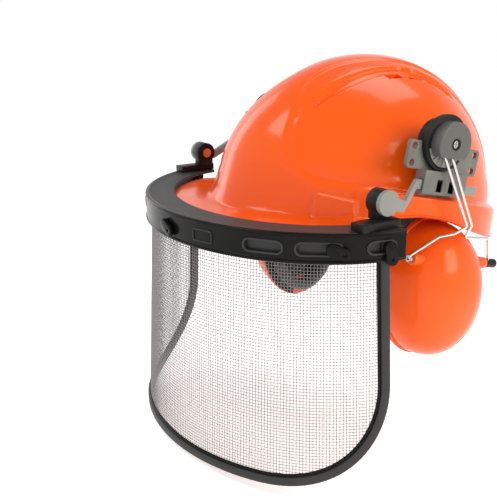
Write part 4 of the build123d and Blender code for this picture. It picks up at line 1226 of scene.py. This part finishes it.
for side_name in ("left", "right"):
    for label, way in (("front", -1), ("rear", 1)):
        rings = mirrored_points(boss_rings(way), side_name)
        boss = ring_piece("cup_boss_" + label + "_" + side_name, rings)
        wear(boss, orange, "muff_" + side_name)
print("wire bosses made")

# %% [markdown]
# ## Ear cushions
# A ring of soft foam in a thin welded foil. It is blown up by Blender's Cloth with pressure, like a small
# inner tube, while its back stays glued to the flange. Its middle pulls in along the welded seam.

# %% Swell a pad with Cloth


def swell(piece, voxel, pressure, cap, held, frames=20):
    """Remeshes a closed pad, blows it up as cloth and keeps the shape, with a limit on each point's move."""
    remesh = piece.modifiers.new("remesh", "REMESH")
    remesh.mode = "VOXEL"
    remesh.voxel_size = voxel * mm
    bpy.context.view_layer.update()
    bake_modifiers(piece)
    count = len(piece.data.vertices)
    start = np.empty(3 * count)
    piece.data.vertices.foreach_get("co", start)
    start = start.reshape(-1, 3)
    group = piece.vertex_groups.new(name="held")
    group.add([int(k) for k in np.nonzero(held(start / mm))[0]], 1.0, "REPLACE")
    cloth = piece.modifiers.new("cloth", "CLOTH")
    cloth.settings.vertex_group_mass = "held"
    cloth.settings.use_pressure = True
    cloth.settings.uniform_pressure_force = pressure
    cloth.settings.effector_weights.gravity = 0
    cloth.point_cache.frame_start, cloth.point_cache.frame_end = 1, frames
    for frame_number in range(1, frames + 1):
        bpy.context.scene.frame_set(frame_number)
    bake_modifiers(piece)
    moved = np.empty(3 * count)
    piece.data.vertices.foreach_get("co", moved)
    shift = moved.reshape(-1, 3) - start
    length = np.linalg.norm(shift, axis=1, keepdims=True)
    start = start + shift * np.minimum(1, cap * mm / np.maximum(length, 1e-9))
    piece.data.vertices.foreach_set("co", start.ravel())
    piece.vertex_groups.clear()
    bpy.context.scene.frame_set(1)
    smoother = piece.modifiers.new("smooth", "SMOOTH")
    smoother.iterations = 4
    finer = piece.modifiers.new("finer", "SUBSURF")
    finer.levels = finer.render_levels = 1
    bpy.context.view_layer.update()
    bake_modifiers(piece)
    shade(piece, 180)
    return piece


cushion_low, cushion_thick, cushion_outer, cushion_inner = -3.3, 14.4, 3.6, 16.4
band_middle, half_band = (cushion_outer + cushion_inner) / 2, (cushion_inner - cushion_outer) / 2
pad_middle, half_thick = cushion_low - cushion_thick / 2 + 0.6, cushion_thick / 2 - 0.8
corner_power = 0.7
cushion_section = []
for turn_round in np.linspace(0, 2 * math.pi, 20, endpoint=False):
    cosine, sine = math.cos(turn_round), math.sin(turn_round)
    across_band = math.copysign(abs(cosine) ** corner_power, cosine) * half_band
    deep = math.copysign(abs(sine) ** corner_power, sine) * half_thick
    cushion_section.append((band_middle + across_band, pad_middle + deep))
rings = np.array([cup_ring_at(rise, -inset) for inset, rise in cushion_section])
left_cushion = ring_piece("cushion_left", rings, True, 40)
swell(left_cushion, 4.0, 4.0, 2.2, lambda at: at[:, 0] > cup_place[0] + cushion_low - 1.6)
count = len(left_cushion.data.vertices)
skin_points = np.empty(3 * count)
left_cushion.data.vertices.foreach_get("co", skin_points)
skin_points = skin_points.reshape(-1, 3) / mm
seam_rise, seam_depth, seam_width = -9.5, 1.1, 1.6
from_cup = skin_points - cup_place
tall, wide = from_cup @ cup_tall, from_cup @ cup_wide
reach = np.hypot(tall / cup_half_height, wide / cup_half_width)
outer_side = reach > 0.82
pull = seam_depth * np.exp(-(((from_cup[:, 0] - seam_rise) / seam_width) ** 2)) * outer_side
inward = -(tall[:, None] * cup_tall + wide[:, None] * cup_wide)
inward /= np.maximum(np.linalg.norm(inward, axis=1, keepdims=True), 1e-9)
skin_points = skin_points + inward * pull[:, None]
skin_points[:, 0] = np.minimum(skin_points[:, 0], cup_place[0] + cushion_low)
cushion_faces = [tuple(face.vertices) for face in left_cushion.data.polygons]
bpy.data.objects.remove(left_cushion)
for side_name in ("left", "right"):
    points = mirrored_points(skin_points, side_name)
    cushion = outward(make_piece("ear_cushion_pad_" + side_name, points, cushion_faces, smooth_limit=180))
    wear(cushion, soft_skin, "muff_" + side_name, "ear_cushion_" + side_name)
print("cushion:", len(cushion_faces), "faces")

# %% Stitches by Geometry Nodes


def stitch_maker():
    """Sets small rounded stitches along a line of points, at a spacing."""
    maker = Maker("stitches", ("Spacing", "Thread Radius", "Stitch Length"))
    line = maker.node("GeometryNodeMeshToCurve", {}, {"Mesh": maker.geometry})
    pace = {"Curve": line, "Length": maker.size("Spacing")}
    even = maker.node("GeometryNodeResampleCurve", {"mode": "LENGTH"}, pace)
    bead = maker.node("GeometryNodeMeshUVSphere", {}, {"Segments": 6, "Rings": 4, "Radius": 1.0})
    thread, half_length = maker.size("Thread Radius"), maker.size("Stitch Length") * 0.5
    shape = maker.node("ShaderNodeCombineXYZ", {}, {"X": thread, "Y": thread, "Z": half_length})
    stitch = maker.node("GeometryNodeTransform", {}, {"Geometry": bead, "Scale": shape})
    way = maker.node("GeometryNodeInputTangent")
    maker.finish(maker.spread_out(even, stitch, maker.turned(way)), thread_grey)
    return maker


stitches = stitch_maker()
thread_radius, stitch_share = 0.28, 0.62


def stitch_row(name, line, body, spacing=3.2, closed=False):
    """A row of stitches along points, riding on a body."""
    edges = [(k, k + 1) for k in range(len(line) - 1)] + ([(len(line) - 1, 0)] if closed else [])
    piece = make_piece(name, line, [], edges)
    stitch_length = spacing * stitch_share
    sizes = {"Spacing": spacing, "Thread Radius": thread_radius, "Stitch Length": stitch_length}
    stitches.run(piece, sizes)
    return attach(piece, body)


for side_name in ("left", "right"):
    seam = cup_ring_at(seam_rise, -2.9)
    stitch_row("cushion_seam_" + side_name, mirrored_points(seam, side_name), "muff_" + side_name, 3.4, True)
print("cushion seams stitched")

# %% Foam liners inside the cups
liner_inset, liner_low, liner_thick = 8.6, 1.0, 9.0
liner_steps = [
    (0.0, 0.0), (0.9, 0.15), (1.0, 0.5), (0.97, 0.8), (0.9, 0.93), (0.7, 1.0), (0.4, 1.02), (0.06, 1.03),
]
for side_name in ("left", "right"):
    rings = np.array([
        cup_ring_at(liner_low + liner_thick * rise, -liner_inset, max(size, 0.02))
        for size, rise in liner_steps
    ])
    liner = ring_piece("cup_liner_" + side_name, mirrored_points(rings, side_name), smooth_limit=60)
    wear(liner, black_foam, "muff_" + side_name, "cup_foam_" + side_name)
print("foam liners made")

# %% [markdown]
# ## Sweatband, nape pad and straps
# Thin sewn pads are too thin for a remesh, so their quilting is modelled: the section is crowned, and
# it is pinched where a row of stitches crosses it. The straps are flat woven ribbons, stitched along both
# edges.

# %% Head outline and quilted pads
head_half_width, head_front, nape_y = 77.0, 112.0, 15.0
pad_height, band_low, pad_gap, quilt_thick, pinch = 17.0, -12.0, 0.4, 3.8, 0.38


def head_line(turns, inset):
    """The headband's inside, seen from above: angle from the wearer's left, in radians."""
    ahead = np.sin(turns) < 0
    reach = np.where(ahead, head_front, head_half_width) - inset
    x, y = (head_half_width - inset) * np.cos(turns), nape_y + reach * np.sin(turns)
    return np.stack([x, y, 0 * x], axis=-1)


def quilted(name, node, turns, inset, low, height, channel):
    """A thin pad on the inside of the band, crowned, and pinched every `channel` millimetres."""
    line = head_line(turns, inset)
    length = np.concatenate([[0], np.cumsum(np.linalg.norm(np.diff(line, axis=0), axis=1))])
    cells = max(round(length[-1] / channel), 1)
    puff = np.abs(np.sin(math.pi * length / length[-1] * cells)) ** 0.45
    inner = head_line(turns, inset + 1.0) - line
    inner /= np.linalg.norm(inner, axis=1, keepdims=True)
    rings = []
    for k in range(16):
        turn_round = 2 * math.pi * k / 16
        cosine, sine = math.cos(turn_round), math.sin(turn_round)
        rise = low + height / 2 + math.copysign(abs(sine) ** 0.55, sine) * height / 2
        crown_share = 0.5 * quilt_thick * (1 + math.copysign(abs(cosine) ** 0.6, cosine))
        depth = crown_share * (1 - pinch + pinch * puff) if cosine > 0 else 0 * puff + crown_share
        ring = line + inner * depth[:, None]
        ring[:, 2] = rise
        rings.append(ring)
    pad = ring_piece(name, np.array(rings).transpose(1, 0, 2), smooth_limit=60)
    wear(pad, black_foam, "helmet", node)


front_start = math.asin((-38.0 - nape_y) / (head_front - 2))
front_turns = np.linspace(front_start, -math.pi - front_start, 240)
quilted("sweat_pad", "sweatband", front_turns, pad_gap, band_low + 1, pad_height, 22.0)
nape_inset = 6.2
nape_half = math.radians(23.5)
nape_turns = np.linspace(math.pi / 2 - nape_half, math.pi / 2 + nape_half, 90)
quilted("nape_cushion", "nape_pad", nape_turns, nape_inset + pad_gap, -36.0, 16.0, 14.0)
print("pads made")

# %% Crown straps
strap_base, strap_top, strap_inset, strap_step = 10.4, 78.0, 4.0, 2.6
strap_width, strap_thick, stitch_edge = 18.0, 1.2, 1.8
strap_ways = {"lengthwise": -90.0, "left": -35.0, "right": -145.0}


def head_reach(angle):
    """Distance from the origin to the inside of the headband, in one direction."""
    half_y = head_front if math.sin(angle) * head_half_width < nape_y * 0.5 else head_half_width
    aside, along = math.cos(angle) / head_half_width, math.sin(angle) / half_y
    offset = nape_y / half_y
    a, b = aside**2 + along**2, along * offset
    return (b + math.sqrt(b * b - a * (offset * offset - 1))) / a


for order, (strap_name, degrees) in enumerate(strap_ways.items()):
    way = math.radians(degrees)
    near, away = head_reach(way) - strap_inset, head_reach(way + math.pi) - strap_inset
    half_span, middle = (near + away) / 2 - strap_thick / 2, (near - away) / 2
    height = strap_top - strap_base - order * strap_step - strap_thick / 2
    turns = np.linspace(0, math.pi, 90)
    flat = np.array([math.cos(way), math.sin(way), 0.0])
    path = (middle + half_span * np.cos(turns))[:, None] * flat
    path[:, 2] = strap_base + height * np.sin(turns)
    out = np.cos(turns)[:, None] / half_span * flat
    out[:, 2] = np.sin(turns) / height
    out /= np.linalg.norm(out, axis=1, keepdims=True)
    beside = np.tile(np.array([-math.sin(way), math.cos(way), 0.0]), (len(path), 1))
    section = rounded_box_section(strap_width, strap_thick, 0.55, 3)
    strap = sweep("web_strap_" + strap_name, path, section, beside, out)
    wear(strap, strap_web, "helmet", "crown_strap_" + strap_name)
    for label, edge in (("_a", -1), ("_b", 1)):
        line = path + beside * edge * (strap_width / 2 - stitch_edge) + out * (strap_thick / 2 + 0.05)
        stitch_row("strap_stitches_" + strap_name + label, line[1:-1], "helmet")
print("straps:", len(strap_ways))

# %% [markdown]
# ## The pivot's small parts
# A cross-head screw sits at the middle of each muff's pivot, in a flat black ring that paints the shade
# of its recess. Under the block a pale plate on the disc carries a fan of click ribs. The ribs repeat
# round the pivot, so Geometry Nodes set them.

# %% Cross-head screws
screw_face, recess_depth, recess_width, recess_arm, cut_clear = 121.6, 1.1, 0.8, 2.1, 1.0
cut_middle, cut_half = screw_face + (cut_clear - recess_depth) / 2, (cut_clear + recess_depth) / 2
for side_name, sign in (("left", 1), ("right", -1)):
    screw = softened("pivot_screw_" + side_name, turned_steel, 0.25)
    for wide, tall in ((recess_arm, recess_width / 2), (recess_width / 2, recess_arm)):
        middle = (sign * cut_middle, pivot_y, pivot_z)
        cut_away(screw, box_piece("recess", middle, (sign * cut_half, wide, tall)))
    shade(screw, 30)
    screw.data.materials.clear()
    screw.data.materials.append(turned_steel)
print("screws cut")

# %% Click plate, click ribs and the black ring of painted shade round the screw


def fan_maker():
    """Sets one small rib on each point, turned to the point's own way."""
    maker = Maker("click_ribs", ("Rib Length", "Rib Width", "Rib Height"))
    high, wide, long = maker.size("Rib Height"), maker.size("Rib Width"), maker.size("Rib Length")
    sizes = maker.node("ShaderNodeCombineXYZ", {}, {"X": high, "Y": wide, "Z": long})
    rib = maker.node("GeometryNodeMeshCube", {}, {"Size": sizes})
    rotation = maker.turned(maker.field("way", "FLOAT_VECTOR"))
    maker.finish(maker.spread_out(maker.geometry, rib, rotation), pale_grey)
    return maker


def ways_round(start, end, count):
    """Directions round the pivot, square to x, from one angle to another in degrees."""
    turns = np.radians(np.linspace(start, end, count))
    return np.stack([0 * turns, np.cos(turns), np.sin(turns)], axis=1)


def flat_ring(name, x, inner, outer, start, end):
    """A thin flat ring round the pivot, square to x: inner and outer radius, first and last angle."""
    ways = ways_round(start, end, 49)
    section = ((inner, -1), (outer, -1), (outer, 1), (inner, 1))
    rings = [
        np.array([x + way * ring_half_thick, pivot_y, pivot_z]) + ways * radius for radius, way in section
    ]
    rings = np.array(rings).transpose(1, 0, 2)
    whole = end - start == 360
    return ring_piece(name, rings[:-1] if whole else rings, loop=whole)


def outer_face(node):
    """How far out a left part's face is, in millimetres."""
    return max(point.co.x for point in frame["nodes"][node].data.vertices) / mm


ring_half_thick = 0.15
click_plate = (8.0, 17.6, 200, 340)
# A flat black ring round the screw: painted shade of the recess that holds the screw head.
screw_shade_ring = (2.9, 4.3, 0, 360)
click_x, shade_ring_x = outer_face("pivot_disc_left") + 0.35, outer_face("pivot_block_left") + 0.1
rib_radius, rib_stand = 13.5, 0.4
rib_sizes = {"Rib Length": 7.0, "Rib Width": 1.0, "Rib Height": 0.9}
rib_ways = ways_round(215, 317, 7)
fan = fan_maker()
for side_name, sign in (("left", 1), ("right", -1)):
    disc_body = frame["nodes"]["pivot_disc_" + side_name]["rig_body"]
    block_body = frame["nodes"]["pivot_block_" + side_name]["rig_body"]
    plate = flat_ring("click_plate_" + side_name, sign * click_x, *click_plate)
    wear(plate, pale_grey, disc_body)
    # The black ring paints the shade in the screw's recess.
    recess = flat_ring("screw_shade_ring_" + side_name, sign * shade_ring_x, *screw_shade_ring)
    wear(recess, black_satin, block_body)
    spots = np.array([sign * (click_x + rib_stand), pivot_y, pivot_z]) + rib_ways * rib_radius
    ribs = make_piece("click_ribs_" + side_name, spots, [])
    set_field(ribs, "way", "FLOAT_VECTOR", rib_ways)
    fan.run(ribs, rib_sizes, 30)
    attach(ribs, disc_body)
print("click ribs:", len(rib_ways), "a side")

# %% Black plates behind the carriers' windows: painted shade where the shell shows through
window_x, window_ys, window_z = 112.9, (-16.2, -3.7), 14.7
shade_plate_half = (0.3, 4.2, 5.6)
for side_name, sign in (("left", 1), ("right", -1)):
    for k, window_y in enumerate(window_ys):
        # Each black plate paints the shade seen through a window of the carrier.
        middle = (sign * window_x, window_y, window_z)
        back = box_piece("window_shade_plate_" + side_name + "_" + str(k), middle, shade_plate_half)
        wear(back, black_satin, "helmet")
print("window plates:", 2 * len(window_ys))

# %% [markdown]
# ## Camera, light and floor
# A plain white floor that glows a little and large soft lamps, as in a product studio. The sky is white at
# the horizon and dimmer overhead, so that the lamps shape the highlights. The view is from the wearer's
# front left, a little above the guard.

# %% Floor
low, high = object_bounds()
floor_drop, floor_size = 2.0, 6000.0
floor_z = low.z / mm - floor_drop
floor = make_piece(
    "studio_floor",
    [(sx * floor_size, sy * floor_size, floor_z) for sx, sy in ((-1, -1), (1, -1), (1, 1), (-1, 1))],
    [(0, 1, 2, 3)],
)
paper = Finish("studio_paper", Roughness=0.9, Specular_IOR_Level=0.0, Emission_Strength=0.52)
paper.set("Base Color", paper.mix(paper.noise(3), (0.93, 0.93, 0.93), (0.95, 0.95, 0.95)))
paper.shader.inputs["Emission Color"].default_value = (1.0, 1.0, 1.0, 1.0)
floor.data.materials.append(paper.material)
floor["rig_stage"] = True
print("floor at", round(floor_z, 1), "mm")

# %% Lamps and sky


def soft_lamp(name, place, aim, width, height, power, colour=(1, 1, 1)):
    """A softbox: a rectangular area lamp at a place, turned to its aim. Power in watts."""
    light = bpy.data.lights.new(name, "AREA")
    light.shape = "RECTANGLE"
    light.size, light.size_y = width * mm, height * mm
    light.energy = power
    light.color = colour
    lamp = bpy.data.objects.new(name, light)
    lamp.location = Vector(place) * mm
    lamp.rotation_mode = "QUATERNION"
    lamp.rotation_quaternion = (Vector(aim) - Vector(place)).to_track_quat("-Z", "Y")
    bpy.context.scene.collection.objects.link(lamp)
    return lamp


soft_lamp("key_softbox", (-300, -900, 900), (0, 0, 40), 420, 420, 3.0)
soft_lamp("side_softbox", (1000, 250, 520), (40, 10, 20), 500, 700, 6.0, (1.0, 0.86, 0.64))
soft_lamp("top_softbox", (-100, 250, 1100), (0, 20, 60), 700, 500, 3.5)
soft_lamp("left_strip", (-900, -300, 300), (0, 0, 0), 300, 900, 1.6)
sky = bpy.data.worlds.new("studio_sky")
sky.use_nodes = True
sky_nodes, sky_links = sky.node_tree.nodes, sky.node_tree.links
background = sky_nodes["Background"]
background.inputs["Color"].default_value = (1.0, 1.0, 1.0, 1.0)
way = sky_nodes.new("ShaderNodeTexCoord")
parts = sky_nodes.new("ShaderNodeSeparateXYZ")
level = sky_nodes.new("ShaderNodeMapRange")
for label, value in (("From Min", 0.3), ("From Max", 0.75), ("To Min", 1.0), ("To Max", 0.35)):
    level.inputs[label].default_value = value
sky_links.new(way.outputs["Generated"], parts.inputs["Vector"])
sky_links.new(parts.outputs["Z"], level.inputs["Value"])
sky_links.new(level.outputs["Result"], background.inputs["Strength"])
bpy.context.scene.world = sky
bpy.context.scene.view_settings.view_transform = "Standard"
print("lamps:", len(bpy.data.lights))

# %% Camera
camera_place = Vector((490.2, -432.7, 42.0)) * mm
camera_right = Vector((0.5378, 0.8255, 0.1712))
camera_up = Vector((-0.2375, -0.0465, 0.9702))
camera_back = Vector((0.8089, -0.5624, 0.1710))
sensor_width, focal_share = 36.0, 1.51364
camera_data = bpy.data.cameras.new("camera")
camera_data.sensor_fit = "HORIZONTAL"
camera_data.sensor_width = sensor_width
camera_data.lens = sensor_width * focal_share
camera_data.shift_x, camera_data.shift_y = -0.0011, -0.0033
camera_data.clip_start, camera_data.clip_end = 0.02, 30.0
camera = bpy.data.objects.new("camera", camera_data)
turn_matrix = Matrix((camera_right, camera_up, camera_back)).transposed()
camera.matrix_world = Matrix.Translation(camera_place) @ turn_matrix.to_4x4()
bpy.context.scene.collection.objects.link(camera)
bpy.context.scene.camera = camera
print("camera at", [round(v, 3) for v in camera_place])

# %% Sizes
low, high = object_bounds()
print("visual size:", [round(v / mm) for v in high - low], "mm")
